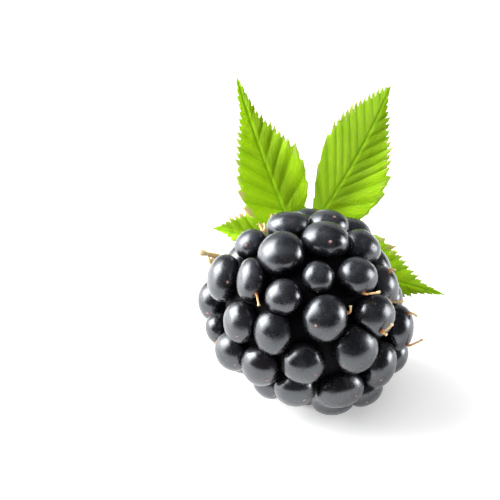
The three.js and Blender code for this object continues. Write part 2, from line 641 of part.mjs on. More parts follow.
// Two faces over the same lines, triangulated alike, and the edge between them.
function bladeIndex(rows, width) {
  const count = rows * width;
  const middle = (width - 1) / 2;
  const index = [];
  const quad = (a, b, c, d) => index.push(a, b, c, a, c, d);
  for (let row = 0; row < rows - 1; row += 1) {
    for (let column = 0; column < width - 1; column += 1) {
      const a = row * width + column;
      const [b, c, d] = [a + 1, a + 1 + width, a + width];
      if (column < middle) {
        quad(a, b, c, d);
        index.push(count + a, count + c, count + b, count + a, count + d, count + c);
      } else {
        quad(b, c, d, a);
        index.push(count + b, count + d, count + c, count + b, count + a, count + d);
      }
    }
    const left = row * width;
    const right = left + width - 1;
    quad(left, left + width, count + left + width, count + left);
    quad(right, count + right, count + right + width, right + width);
  }
  const last = (rows - 1) * width;
  for (let column = 0; column < width - 1; column += 1) {
    const end = last + column;
    quad(column, count + column, count + column + 1, column + 1);
    quad(end, end + 1, count + end + 1, count + end);
  }
  return index;
}

function leafletSolid(leaflet) {
  const turn = THREE.MathUtils.degToRad(leaflet.turn);
  const lift = THREE.MathUtils.degToRad(leaflet.lift);
  const flat = leaned(new THREE.Vector3(), Math.sin(turn), Math.cos(turn), 0);
  const along = flat.multiplyScalar(Math.cos(lift)).addScaledVector(FACE, Math.sin(lift));
  const aside = leaned(new THREE.Vector3(), Math.cos(turn), -Math.sin(turn), 0);
  const out = aside.clone().cross(along);
  const lines = bladeLines(leaflet);
  const positions = [];
  for (const isUpper of [true, false]) {
    for (const point of lines.flat()) {
      const share = THREE.MathUtils.clamp(point.s / leaflet.length, 0, 1);
      const swell = Math.sin(Math.PI * share);
      const rib = point.isRib ? MIDRIB_DEPTH * (1 - MIDRIB_TAPER * share) : 0;
      const offset = isUpper ? BLADE_THICKNESS / 2 : -BLADE_THICKNESS / 2 - rib;
      const place = KNOT.clone()
        .addScaledVector(along, leaflet.start + point.s)
        .addScaledVector(aside, point.x + leaflet.bow * swell)
        .addScaledVector(out, point.rise + leaflet.arch * swell + offset);
      positions.push(place.x, place.y, place.z);
    }
  }
  const geometry = new THREE.BufferGeometry();
  geometry.setAttribute('position', new THREE.Float32BufferAttribute(positions, 3));
  geometry.setIndex(bladeIndex(lines.length, lines[0].length));
  return solidFrom(geometry);
}

// ---- The whole part -----------------------------------------------------------------------------

const drupelets = placeDrupelets();
shiftDrupelets(drupelets);
sizeDrupelets(drupelets);
settleDrupelets(drupelets);
const bottom = (drupelet) => drupelet.centre.clone().applyQuaternion(lie).z - drupelet.radius;
const lowest = drupelets.reduce((low, each) => (bottom(each) < bottom(low) ? each : low));

const part = new THREE.Group();
part.position.set(-lowest.middle.x, -lowest.middle.y, 0);

function addPiece(name, solid, material) {
  const mesh = new THREE.Mesh(geometryFrom(solid), material);
  mesh.name = name;
  part.add(mesh);
}

addPiece('berry', berrySolid(drupelets), MATERIALS.berry);
addPiece('dried_stamens', stamenSolid(), MATERIALS.dried_stamens);
addPiece('calyx', calyxSolid(), MATERIALS.calyx);
addPiece('stalk', stalkSolid(), MATERIALS.stalk);
for (const leaflet of LEAFLETS) {
  addPiece(leaflet.name, leafletSolid(leaflet), MATERIALS.leaf.clone());
}

export default part;
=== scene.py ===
"""A ripe bramble berry on its side with its leaf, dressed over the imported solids.

Sizes are in millimetres, like the solids' own, and become metres where a mesh is made.
"""

import math
from dataclasses import dataclass

import bpy
import numpy as np
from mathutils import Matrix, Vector, noise


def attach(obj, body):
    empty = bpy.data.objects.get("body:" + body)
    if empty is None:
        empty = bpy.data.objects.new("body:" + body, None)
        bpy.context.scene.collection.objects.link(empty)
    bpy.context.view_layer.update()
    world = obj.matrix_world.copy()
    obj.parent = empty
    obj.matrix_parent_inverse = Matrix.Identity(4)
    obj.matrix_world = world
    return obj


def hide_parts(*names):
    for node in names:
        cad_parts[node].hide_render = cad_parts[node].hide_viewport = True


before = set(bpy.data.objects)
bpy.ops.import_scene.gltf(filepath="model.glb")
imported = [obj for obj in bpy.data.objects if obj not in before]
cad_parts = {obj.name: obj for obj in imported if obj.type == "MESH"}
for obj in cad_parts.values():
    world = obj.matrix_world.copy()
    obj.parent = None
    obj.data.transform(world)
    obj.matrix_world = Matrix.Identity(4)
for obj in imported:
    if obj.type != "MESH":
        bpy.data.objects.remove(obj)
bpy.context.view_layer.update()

MM = 0.001

# ---- The fruit's rule, the same as the solids' ---------------------------------------------------

CENTRES_ACROSS = 10.0  # half-axes of the ellipsoid that the drupelets sit on
CENTRES_ALONG = 9.6
CORE_RADIUS = 9.0  # of the heart under them, dark with painted shade
RINGS = [  # degrees from the tip, number, first azimuth
    (26, 4, 52),
    (45, 8, 11),
    (71, 12, 13),
    (98, 13, 13),
    (123, 11, 16),
    (149, 6, 20),
]
SEED = 199915
POLAR_JITTER = 8  # degrees either way
AZIMUTH_JITTER = 9
CROWDED = 4.8  # centres nearer than this push each other apart
PUSH = 0.25  # share of what is missing that each gives way in one round
PUSH_ROUNDS = 12
NEIGHBOURS = 5  # a radius follows from the mean distance to this many
RADIUS_SHARE = 0.415
# Drupelets that grew apart from the rule: ring and place, the shift across and up the front of the
# fruit, how far it stands out, the size over what the spacing gives, and how much taller than broad
# it is, seen from the front.
GROWN_APART = [
    (0, 0, -1.15, 1.25, 0, 1.03, 1.03),
    (0, 1, -0.5, -0.8, 0, 0.97, 1),
    (0, 2, -0.4, -0.7, 0, 0.98, 1),
    (0, 3, -0.55, -0.65, 0.1, 1.1, 0.94),
    (1, 0, 0.2, -0.65, 0.2, 1.02, 1.12),
    (1, 1, -0.6, 0.3, 0, 0.95, 0.98),
    (1, 2, -0.2, 0.3, 0, 1, 1.02),
    (1, 3, -0.1, 0.1, 0, 1.01, 1.08),
    (1, 4, 0.5, 0.6, 0, 1.04, 1.04),
    (1, 5, 0.1, 0.6, -0.8, 0.88, 1),
    (1, 6, 3.2, -0.7, 0.3, 1, 0.94),
    (1, 7, 2.8, -3.4, 0.9, 1, 1),
    (2, 0, 0.8, -0.5, 0.2, 0.97, 1.1),
    (2, 1, 0, 1, -0.8, 0.95, 1.05),
    (2, 2, -0.7, 0.2, 0, 0.93, 0.98),
    (2, 3, -0.6, -0.2, 0, 0.77, 1),
    (2, 4, 0, -0.6, 0, 0.91, 0.98),
    (2, 5, -0.1, -0.7, 0, 0.91, 1.08),
    (2, 6, 0.8, -0.5, 0, 0.97, 1),
    (2, 7, 0.9, 0.9, -1.3, 0.82, 1),
    (2, 8, 0.9, 0.8, -1.5, 0.85, 1),
    (2, 9, 0, -2.2, 0.2, 0.9, 1),
    (2, 11, 2.3, -1, 1, 0.85, 1),
    (3, 0, 0, -0.8, -0.8, 0.95, 1),
    (3, 1, 0.4, 0.1, -0.85, 0.89, 1.06),
    (3, 2, 0.4, 0.3, 0, 0.97, 0.98),
    (3, 3, 0.3, 0.6, 0, 1.05, 0.93),
    (3, 4, 0.05, -1, 0, 1.08, 1.02),
    (3, 5, 1.3, -1.3, 0, 0.84, 1.2),
    (3, 6, -1, 3.35, 0.2, 0.95, 1.12),
    (3, 7, -0.4, 0, 0, 0.72, 1),
    (4, 2, 0.1, 0.5, 0, 1.02, 0.94),
    (4, 3, 0.1, 0.5, 0, 0.94, 0.9),
    (4, 4, 0, 0.2, 0, 0.78, 1),
    (4, 5, 0.5, -0.95, -1.2, 0.85, 1),
    (4, 6, 0, -0.1, 1.15, 0.95, 1),
    (5, 2, 0, -0.6, -1.4, 0.8, 1),
]
TIP_DIRECTION = Vector((0.23, -0.9378, -0.26)).normalized()
CENTRE_HEIGHT = 10.75  # of the fruit's middle over the surface
FLAT_DEPTH = 0.3  # the most that the surface takes off a drupelet

# How the drupelets press on each other and on the surface.
DRUPELET_WIDTH = 1.18  # a drupelet is this much wider than it stands high
PRESS_REACH = 3  # widths within which a neighbour can press
PRESS_SHRINK = 0.985  # how far the flats have drawn back from the middle of the gap
PRESS_EDGE = 0.04  # roundness of the edge of a pressed flat
SURFACE_GAP = 0.01
LEAST_SLOPE = 1e-3  # a flat that lies edge-on to a direction sets it no limit

# The skin.
LUMPS = 0.045  # uneven growth, as a share of the radius
LUMP_SIZE = 1.1  # in radii
LUMP_MEAN = 0.3
LUMP_STEP = 3.7  # sets one drupelet's lumps apart from the next one's
PIT_DEPTH = 0.06  # the dimple at a style or a scar
PIT_RADIUS = 0.22
STAIN_RADIUS = 0.3  # of the tint around it
BLOOM_AND_SHEEN = 0.2  # strength of the grey waxy bloom and its painted sheen on the highest drupelets
SHEEN_SIDE = (-0.35, -0.4, 0.85)  # the painted sheen sits on this side of each, where the light falls
SHEEN_FACING = (0.25, 0.95)  # none to full, by how far the skin faces that side
SHEEN_ON_TOP = (0.2, 0.75)  # none to full, by how far the drupelet points up
TONE_STEP = 0.618034  # spreads the tones of pieces that follow each other
HEAD_SEGMENTS = 36
HEAD_RINGS = 26
CORE_SEGMENTS = 48
CORE_RINGS = 32

# ---- Styles --------------------------------------------------------------------------------------

STYLE_LEAN = 50  # degrees from a drupelet's top towards the tip of the fruit
STYLE_ROOT = 0.3  # how deep a style starts in the flesh
STYLE_KNEE = 0.2  # how high over the skin it bends
STYLE_ELBOW = 0.55  # share of the way from there to its end where it bends again
STYLE_BULGE = 0.06  # how far the second bend stands out
STYLE_STANCE = 0.6  # how far the ones at the back stand out, against their bend
STYLE_THICKNESS = 0.15
STYLE_RUN = 0.8  # share of that thickness between foot and knob
FOOT_SWELL = 1.2  # share of it that the foot adds
FOOT_SPREAD = 0.22  # share of the style's length over which it does
KNOB_SWELL = 0.55
KNOB_SPREAD = 0.07
KNOB_PLACE = 0.95
KNOB_CLOSE = 0.03  # the last share of the style, where it narrows to half
FOOT_REACH = 1.1  # distance of a foot or a scar from its drupelet's middle, in radii
SPLINE_STEPS = 6
STRAND_SIDES = 8
# At the front: ring and place, the foot across and up from the drupelet's middle, and the run.
FRONT_STYLES = [
    (1, 1, (0.77, -1.77), (1.26, 0.88, 0.5)),
    (1, 1, (0.85, -1.72), (0.5, -0.4, 0.4)),
    (1, 2, (2.45, 0.6), (0.25, 0.75, 0.1)),
    (2, 0, (1.1, -1.75), (1.71, 0.55, 0.3)),
    (2, 0, (1.1, 1.5), (1, -0.3, 0)),
    (2, 1, (0.65, -1.5), (1.66, -0.1, 0.3)),
    (2, 1, (0.75, 1.6), (0.7, 0.05, 0.2)),
    (2, 2, (0.62, -1.7), (1.74, 0.08, 0.6)),
    (3, 1, (0.45, -0.3), (-0.4, 0.25, 0.5)),
    (3, 5, (0.5, -1.38), (0.28, -1.27, 0.5)),
    (3, 7, (-0.1, -1.3), (-0.4, -0.2, 0.1)),
]
# Elsewhere: ring and place, the way that the style bends, and its length.
BACK_STYLES = [
    (3, 11, 70, 1.6),
    (4, 7, 300, 1.6),
    (4, 9, 20, 1.4),
    (4, 10, 40, 1.7),
    (5, 4, 150, 1.5),
]
SCAR_DEPTH = 0.09  # how far a scar's middle lies under the skin
SCAR_SIZES = (0.12, 0.15, 0.18)
SCAR_LOWEST = 3  # a drupelet at the back whose middle is lower has no scar
SCAR_RIM = 0.72  # radius of the scar's ring, in its own size
SCAR_RIM_SIDES = 12
SCAR_LIP = 0.3  # half-thickness of the ring
SCAR_LIP_SIDES = 6
SCAR_DOT = 0.5  # radius of the dot in it
SCAR_DOT_SEGMENTS = 10
SCAR_DOT_RINGS = 6
SCAR_HEIGHT = 0.8  # how tall both are, against round
# Scars of fallen styles at the front: ring and place, across and up from the drupelet's middle.
FRONT_SCARS = [
    (0, 0, -1.28, -1.84), (0, 1, 1.4, -1.4), (0, 2, 1.1, -1.44), (0, 3, 2.0, -0.85),
    (1, 2, -1.14, -0.85), (1, 2, 1.28, -1.35), (1, 3, 0.86, -1.88), (2, 3, -0.07, -1.55),
    (2, 4, 0.55, -1.17), (2, 5, -0.33, -1.55), (2, 6, 0.28, -1.5), (3, 3, 0.52, -0.2),
    (3, 4, 0.52, -0.55), (3, 6, 0.4, -0.4), (4, 2, 0.77, 1.0), (4, 3, 0.1, 0.55),
    (4, 4, -0.55, -0.1), (4, 6, -1.0, -1.4),
]

# ---- Calyx, stamens and stalk --------------------------------------------------------------------

# Heights are along the fruit's axis, from its middle towards the tip.
PLUG_RADIUS = 1.1
PLUG_TOP = -8.9
DISC_RADIUS = 2.35
DISC_TOP = -11.58
DISC_BASE = -12.2
DISC_EDGE = 0.3  # height of the disc's edge over its base
# Disc and plug are turned on the axis: distance from it and height.
DISC_PROFILE = [
    (0.6, DISC_BASE), (1.6, DISC_BASE), (2.1, DISC_BASE + 0.12),
    (DISC_RADIUS, DISC_BASE + DISC_EDGE), (2.2, DISC_TOP - 0.06), (1.9, DISC_TOP),
    (PLUG_RADIUS + 0.1, DISC_TOP), (PLUG_RADIUS, DISC_TOP + 0.3), (PLUG_RADIUS, PLUG_TOP - 0.4),
    (0.7, PLUG_TOP), (0.2, PLUG_TOP),
]
DISC_SEGMENTS = 32
SEPALS = 5
SEPAL_START = 57  # azimuth of the first
SEPAL_ROOT = 1.3  # distance from the axis where a sepal begins
SEPAL_REACH = 2.9
SEPAL_HALF_WIDTH = 0.9
SEPAL_WAIST = 0.3  # share of a full arch that the root has already passed
SEPAL_FULLNESS = 0.9
SEPAL_TIP = 0.03  # half-width of the tip
SEPAL_THICKNESS = 0.26
SEPAL_THINNING = 0.7  # from the middle to the side
SEPAL_TIP_THICKNESS = 0.15  # what the tip keeps of it
SEPAL_DROOP = 0.3
SEPAL_CUP = 0.16  # how far its sides bend back
SEPAL_RIPPLE = 0.05
SEPAL_RIPPLES = (9, 4)  # along and across
SEPAL_BROWNING = 6  # how closely the brown keeps to the edge
SEPAL_ROWS = 17
SEPAL_COLUMNS = 11
RING_INNER = 1.5
RING_OUTER = 2.35
RING_TOP = -10.98
RING_BASE = -11.22
RING_THICKNESS = 0.13
RING_UNEVEN = 0.02
RING_STEP = 10  # degrees
STAMENS_A_GAP = 5
STAMEN_SPACING = 4.5  # degrees
STAMEN_SHOULDER = 0.4  # how far past the ring a stamen bends down
STAMEN_HEIGHTS = (0.1, 0.08, -0.25, -0.7)  # over the ring's base, from root to end
STAMEN_STEPS = 4
STAMEN_REACH = 2.45
STAMEN_UNEVEN = 0.3
STAMEN_THICKNESS = 0.07
ANTHER = (2.4, 1.2)  # how much thicker the last two points are
TUFT = [
    (-4.2, 8.8, -5.95), (-5.6, 8.4, -5.9), (-7, 7.1, -7.6), (-8.6, 5.75, -7.3), (-9.7, 5.95, -6.1),
    (-10.75, 6.25, -5.3), (-11.95, 6.5, -4.6),
]
TUFT_THICKNESS = 0.34
TUFT_WAVE = 0.25  # how far the thickness rises and falls
TUFT_WAVES = 11
TUFT_KNOB = 0.7
TUFT_KNOB_PLACE = 0.96
TUFT_KNOB_SPREAD = 0.05
# Shreds that hang from the tuft, and their half-thickness.
TUFT_SHREDS = [
    ([(-10.95, 6.3, -5.2), (-10.85, 5.65, -5.25), (-10.6, 4.95, -5.2)], 0.25),
    ([(-10.45, 6.1, -5.5), (-10.5, 5.6, -5.4), (-10.5, 4.95, -5.2)], 0.3),
    ([(-9.9, 5.8, -6.0), (-10.15, 5.45, -5.6), (-10.42, 4.98, -5.2)], 0.27),
    ([(-10.5, 6.45, -5.3), (-9.6, 6.05, -6.3), (-8.7, 6.3, -7.2), (-8.2, 6.6, -7.4)], 0.07),
]
STALK_RADIUS = 0.72
STALK_SLIMMING = 0.97  # by this and the next the stalk keeps inside its solid
STALK_SKIN = 0.04
STALK_GAP = 0.45  # between the disc's base and the stalk's end
STALK_NECK = 1.5  # how far below that base the stalk runs straight
STALK_SHOULDER = (0.0, 2.5, 2.1)  # its bend over the knot: across, up and out from it
STALK_SAG = Vector((0, 0.5, 0.2))  # its bend between knot and cut
STALK_RIDGES = 5
STALK_RIDGE = 0.03
STALK_TWIST = 2
STALK_RIPPLE = 0.015
STALK_RIPPLES = (40, 3)  # along and around
STALK_STEPS = 14
STALK_SIDES = 24
KNOT_RADIUS = 1.15
KNOT_SPREAD = 0.95
KNOT = Vector((-0.83, 15.0, 8.66))
CUT_END = Vector((-2.2, 20.2, 1.6))
CUT_RIM = 0.25  # share of the cut's radius that its rim takes
CUT_BULGE = 0.02

# ---- The leaf ------------------------------------------------------------------------------------

# A row is a line over the blade that runs along the side veins, two rows to a tooth.
LEAF_LEAN = 35  # degrees that the leaf leans back
BLADE_THICKNESS = 0.22
BLADE_THINNING = 0.6  # from the midrib to the edge
BLADE_FOLD = 9  # degrees that each half rises from the midrib
MIDRIB_DEPTH = 0.3  # how far it stands out under the blade
MIDRIB_SPREAD = 0.22
MIDRIB_TAPER = 0.75  # share of its depth that it loses towards the end
MIDRIB_GROOVE = 0.05
GROOVE_SPREAD = 0.16
PLEAT = 0.15
PLEAT_ROUND = 0.8
PLEAT_START = 0.8  # distance from the midrib at which a pleat has its full height
PLEAT_CROWDED = 0.4  # how much lower the pleats are where the side veins stand closer
QUILT = 0.03  # fine unevenness of the blade
QUILT_FINENESS = 2.2
CURL = 0.12  # wave of the edge
CURL_WAVES = 5.1
CURL_WIDTH = 3.0  # distance from the midrib at which it has that height
VEIN_SLANT = 1.15
FULL_SLANT = 0.25  # share of the length from which the side veins have it
VEINS_A_ROW = 0.19
CROWDED_ROWS = 8  # the side veins stand closer over this many rows at the base
CROWDING = 12
POINT_SLOPE = 0.2  # half-width of the long point over the distance to its end
POINT_BROWN = 0.95  # share of the length past which the point is dry
POINT_DRYNESS = 0.6
# Each leaflet's own short stalk, round, which runs out into the midrib.
PETIOLULE_HALF_WIDTH = 0.4
PETIOLULE_TOP = 0.8  # its height over the middle, against its depth below
PETIOLULE_SIDE = 0.01
PETIOLULE_TURN = -0.01  # from here to the end, shares of the length, it flattens
PETIOLULE_END = 0.05
PETIOLULE_THINNING = 12
PETIOLULE_LEAST = 0.08
PETIOLULE_ROWS = (1, 0.75, 0.5, 0.25)
KNOT_CORE = 1.25  # no leaflet reaches nearer to the knot's middle
KNOT_CLEARANCE = 0.5
ROWS_A_TOOTH = 8
BLADE_COLUMNS = 17  # on each side of the midrib
COLUMN_CROWDING = 1.25  # the columns stand closer at the midrib
COLUMN_EVEN = 0.35
OUTLINE_ROUNDS = 12
EDGE_ZONE = 0.7  # share of a half's width past which it follows the teeth
TOOTH = 0.4
TOOTH_SHARE = 0.35  # no tooth is longer than this share of the width there
TOOTH_SWEEP = 0.35  # how far its end points forward
# Heights within a tooth are shares of the tooth.
TOOTH_HEIGHT = 0.8
TOOTH_UNEVEN = 0.7  # scatter of the teeth's heights
TOOTH_STEP = 1.7  # sets one tooth's height apart from the next one's
TOOTH_BACK = 0.5  # share of a half-tooth's run that its steep forward side takes
TOOTH_BACK_CURVE = 0.8
TOOTH_CURVE = 1.6
NOTCH = 0.2  # half of how far a notch cuts in
SMALL_TOOTH = 0.28
SMALL_TOOTH_PLACE = 0.42  # along the long side of the large one
SMALL_TOOTH_SPREAD = 0.18
SMALL_TOOTH_ROW = 0.15  # it ends this far past an odd row
BRISTLE = 0.19
BRISTLE_UNEVEN = 0.04
BRISTLE_FORWARD = 0.5
BRISTLE_WIDTHS = (0.07, 0.045, 0.03, 0.01)
BRISTLE_SIDES = 5
PATTERN_SCALE = 10.0  # millimetres of blade for one unit of the pattern map
VEIN_UNIT = 0.26  # one side vein to the next on the pattern map


@dataclass
class Side:
    """One half of a blade.

    Greatest width, its share of the length, how fast the blade narrows after it, and how far the
    side veins run along the midrib for each millimetre away from it.
    """

    width: float
    widest: float
    taper: float
    slant: float = VEIN_SLANT
    pale: float = 0.0  # painted light: how far this half, turned towards the lamps, is paler than the rest
    dry: float = 0.3  # how far the tips of its teeth have dried


@dataclass
class Leaflet:
    """One leaflet that springs from the knot.

    Degrees that it turns to the right of upright, the distance from the knot's middle to the
    blade, the blade's length, its teeth a side, its halves, how far the midrib bows aside and
    arches out, the degrees that it lifts towards the front, and its side veins.
    """

    name: str
    turn: float
    start: float
    length: float
    teeth: int
    left: Side
    right: Side
    bow: float
    arch: float
    lift: float
    veins_a_row: float = VEINS_A_ROW


LEAFLETS = [
    Leaflet("leaflet_upper_left", -19.7, 2.1, 18.9, 18,
            Side(3.9, 0.28, 1.7, dry=0.9), Side(4.1, 0.38, 2.6, 1.4), -0.3, 0.5, 2),
    # Its left half is paler: painted light.
    Leaflet("leaflet_upper_right", 29.7, 2.2, 19.2, 18,
            Side(4.0, 0.56, 1.05, 1.7, 0.2, 0.9), Side(4.8, 0.38, 1.6, 1.4), 0.55, 0.6, -2, 0.26),
    Leaflet("leaflet_lower_right", 107.4, 1.9, 15.7, 15,
            Side(4.3, 0.36, 2.2, dry=0.9), Side(2.9, 0.42, 1.9), 0.15, 0.4, 0),
    Leaflet("leaflet_lower_left", -76.5, 2.1, 8.3, 9,
            Side(2.0, 0.36, 2.2, dry=0.9), Side(2.9, 0.36, 1.3, dry=1.2), 0.1, 0.2, -13),
]

# ---- Camera, lights and floor --------------------------------------------------------------------

VIEW_ELEVATION = 35
VIEW_DISTANCE = 500
FRAME_WIDTH = 55.3  # millimetres that the picture spans at the fruit
FRAME_MIDDLE = (-6.3, 6.75)  # across and up from the fruit's middle
SENSOR_WIDTH = 36
CLIP_NEAR = 0.01  # metres
CLIP_FAR = 10
# Soft boxes: name, place, size across and up, and how bright each is to look at.
LIGHTS = [
    ("window_left", (-200, 40, 145), (120, 150), 7.5),
    ("window_edge", (-203, 40, 145), (220, 250), 4.5),
    ("window_glow", (-206, 50, 130), (300, 300), 2.4),
    ("window_fade", (-210, 60, 120), (430, 360), 0.85),
    ("strip_right", (230, 30, 50), (80, 80), 8.0),
    ("strip_fade", (234, 30, 50), (150, 150), 4.5),
    ("backdrop", (0, 420, 140), (900, 260), 0.45),
]
CEILING = ("ceiling", (0, -120, 600), (800, 800), 1.1)  # it shows in no reflection
LIGHTS_MEET = (0, 0, 10)
SKY = (0.95, 0.97, 1.0, 1)
SKY_STRENGTH = 0.08
FLOOR_REACH = 3000
FLOOR_GLOW = 0.28

# ---- Colours and finish --------------------------------------------------------------------------

# Skin of the drupelets, dark and light of its mottle, for dark and for ripe ones.
SKIN_DARK = (0.004, 0.004, 0.005), (0.007, 0.007, 0.010)
SKIN_RIPE = (0.006, 0.004, 0.005), (0.009, 0.006, 0.010)
SKIN_IOR = 1.85
SKIN_GLINT = (0.90, 0.945, 1.0, 1.0)
STAIN_RED = (0.035, 0.012, 0.012)
# Grey of the waxy bloom, laid on as painted sheen where the light falls.
BLOOM_AND_SHEEN_GREY = (0.14, 0.155, 0.18)
# Painted shade: the core is near black for the deep gaps where it shows.
CORE_SHADE_BLACK = (0.001, 0.001, 0.0015), (0.004, 0.003, 0.004)
# A dried style from its foot to its knob.
STYLE_RED = (0.10, 0.018, 0.014)
STYLE_RUST = (0.30, 0.09, 0.04)
STYLE_STRAW = (0.62, 0.34, 0.12)
STYLE_PALE = (0.86, 0.66, 0.36)
SCAR_BROWN = (0.24, 0.09, 0.08), (0.55, 0.37, 0.33)
STAMEN_BROWN = (0.60, 0.31, 0.09)
STAMEN_STRAW = (0.86, 0.62, 0.28)
STAMEN_PALE = (0.97, 0.88, 0.60)
SEPAL_GREEN = (0.20, 0.24, 0.07), (0.42, 0.46, 0.22)
SEPAL_BROWN = (0.32, 0.17, 0.08)
STALK_GREEN = (0.17, 0.30, 0.03), (0.34, 0.48, 0.08)
STALK_FLUSH = (0.30, 0.10, 0.05)
STALK_PITH = (0.55, 0.50, 0.25)
BLADE_GREEN = (0.220, 0.415, 0.001), (0.320, 0.550, 0.003)
# Painted light on the crests between the sunk side veins.
CREST_LIGHT_GREEN = (0.36, 0.58, 0.010)
CELL_GREEN = (0.38, 0.60, 0.018)
SPECK_OLIVE = (0.40, 0.40, 0.16)
# Painted light on a half turned towards the lamps.
PAINTED_LIGHT_GREEN = (0.46, 0.72, 0.06)
# Painted shade in the sunk side veins, beside the midrib and along it.
GROOVE_SHADE_GREEN = (0.12, 0.28, 0.001)
SHADE_GREEN = (0.115, 0.215, 0.0)
MIDRIB_SHADE_GREEN = (0.14, 0.33, 0.001)
FRILL_BROWN = (0.52, 0.34, 0.20)
BLADE_GLOW = (0.6, 1.0, 0.1)
FLOOR_WHITE = (0.93, 0.93, 0.935), (0.95, 0.95, 0.95)
NOISE_ROUGHNESS = 0.55
# On the blade's pattern map.
GROOVE_HALF_WIDTH = 0.045
CREST_START = 0.06
NET_FINENESS = 26


# ---- Plain helpers -------------------------------------------------------------------------------

def random_from(seed):
    """The same small generator as the solids' source."""
    word = 0xFFFFFFFF
    state = seed & word

    def draw():
        nonlocal state
        state = (state + 0x6D2B79F5) & word
        mixed = ((state ^ (state >> 15)) * (state | 1)) & word
        mixed ^= (mixed + (((mixed ^ (mixed >> 7)) * (mixed | 61)) & word)) & word
        return (mixed ^ (mixed >> 14)) / 4294967296

    return draw


def smooth_step(low, high, value):
    share = np.clip((value - low) / (high - low), 0, 1)
    return share * share * (3 - 2 * share)


def hump(value, spread, middle=0):
    """A soft hump of height 1 over a middle."""
    return math.exp(-((value - middle) / spread) ** 2)


def unit(vectors):
    return vectors / np.linalg.norm(vectors, axis=-1, keepdims=True)


def spline(points, steps):
    """A smooth line through points, with so many steps between two of them."""
    points = [Vector(point) for point in points]
    first = points[0] * 2 - points[1]
    last = points[-1] * 2 - points[-2]
    padded = [first, *points, last]
    line = []
    for at in range(1, len(padded) - 2):
        a, b, c, d = padded[at - 1:at + 3]
        for step in range(steps):
            t = step / steps
            line.append(0.5 * (
                2 * b + (c - a) * t + (2 * a - 5 * b + 4 * c - d) * t ** 2
                + (3 * b - a - 3 * c + d) * t ** 3))
    line.append(points[-1])
    return line


def grid_faces(rows, columns, closed=False, first=0):
    """Quads over rows of points; closed joins the last column to the first."""
    faces = []
    span = columns if closed else columns - 1
    for row in range(rows - 1):
        for column in range(span):
            a = first + row * columns + column
            b = first + row * columns + (column + 1) % columns
            faces.append((a, b, b + columns, a + columns))
    return faces


def sheet_faces(rows, columns, first=0):
    """Faces of two grids of points, one under the other, and of the rim that joins them."""
    upper = grid_faces(rows, columns, False, first)
    under = rows * columns
    rim = [first + column for column in range(columns)]
    rim += [first + row * columns + columns - 1 for row in range(1, rows)]
    rim += [first + (rows - 1) * columns + column for column in range(columns - 2, -1, -1)]
    rim += [first + row * columns for row in range(rows - 2, 0, -1)]
    faces = upper + [tuple(point + under for point in reversed(face)) for face in upper]
    return faces + [(b, a, a + under, b + under) for a, b in zip(rim, rim[1:] + rim[:1])]


def mesh_piece(name, points, faces, material):
    """A smooth-shaded object at the origin from points in millimetres."""
    mesh = bpy.data.meshes.new(name)
    mesh.from_pydata([tuple(c * MM for c in point) for point in points], [], faces)
    mesh.materials.append(material)
    mesh.shade_smooth()
    piece = bpy.data.objects.new(name, mesh)
    bpy.context.scene.collection.objects.link(piece)
    return piece


def set_values(mesh, name, values, kind="FLOAT"):
    layer = mesh.attributes.new(name, kind, "POINT")
    field = "vector" if kind == "FLOAT_VECTOR" else "value"
    layer.data.foreach_set(field, np.asarray(values, dtype=np.float32).ravel())


# ---- Placing the fruit ---------------------------------------------------------------------------

LIE = np.array(Vector((0, 0, 1)).rotation_difference(TIP_DIRECTION).to_matrix())
# The front of the fruit and the leaf share these axes: across, up, and out towards the front.
LEAN = math.radians(LEAF_LEAN)
ACROSS = Vector((1, 0, 0))
RISE = Vector((0, math.sin(LEAN), math.cos(LEAN)))
FACE = Vector((0, -math.cos(LEAN), math.sin(LEAN)))


@dataclass
class Drupelet:
    ring: int
    place: int
    centre: np.ndarray
    radius: float = 0.0
    tall: float = 1.0
    outward: np.ndarray = None
    middle: np.ndarray = None


def on_centres(points):
    axes = np.array([CENTRES_ACROSS, CENTRES_ACROSS, CENTRES_ALONG])
    return points / np.linalg.norm(points / axes, axis=-1, keepdims=True)


def place_drupelets():
    draw = random_from(SEED)
    drupelets = []
    for ring, (polar, count, start) in enumerate(RINGS):
        for place in range(count):
            down = math.radians(polar + POLAR_JITTER * (2 * draw() - 1))
            around = math.radians(start + 360 * place / count + AZIMUTH_JITTER * (2 * draw() - 1))
            centre = np.array([
                CENTRES_ACROSS * math.sin(down) * math.cos(around),
                CENTRES_ACROSS * math.sin(down) * math.sin(around),
                CENTRES_ALONG * math.cos(down),
            ])
            drupelets.append(Drupelet(ring, place, centre))
    centres = np.array([drupelet.centre for drupelet in drupelets])
    for _ in range(PUSH_ROUNDS):
        apart = centres[:, None] - centres[None]
        distance = np.linalg.norm(apart, axis=2)
        np.fill_diagonal(distance, CROWDED)
        share = np.where(distance < CROWDED, PUSH * (CROWDED - distance) / distance, 0)
        centres = on_centres(centres + (share[..., None] * apart).sum(axis=1))
    size = np.ones(len(drupelets))
    for ring, place, across, up, out, grown, tall in GROWN_APART:
        at = find_drupelet(drupelets, ring, place)
        centre = on_centres(centres[at] + LIE.T @ np.array(ACROSS * across + RISE * up))
        centres[at] = centre * (1 + out / np.linalg.norm(centre))
        size[at] = grown
        drupelets[at].tall = tall
    distance = np.linalg.norm(centres[:, None] - centres[None], axis=2)
    np.fill_diagonal(distance, np.inf)
    nearest = np.sort(distance, axis=1)[:, :NEIGHBOURS].mean(axis=1)
    for drupelet, centre, radius in zip(drupelets, centres, RADIUS_SHARE * nearest * size):
        drupelet.centre = centre
        drupelet.radius = radius
    return drupelets


def find_drupelet(drupelets, ring, place):
    return next(
        at for at, drupelet in enumerate(drupelets)
        if (drupelet.ring, drupelet.place) == (ring, place))


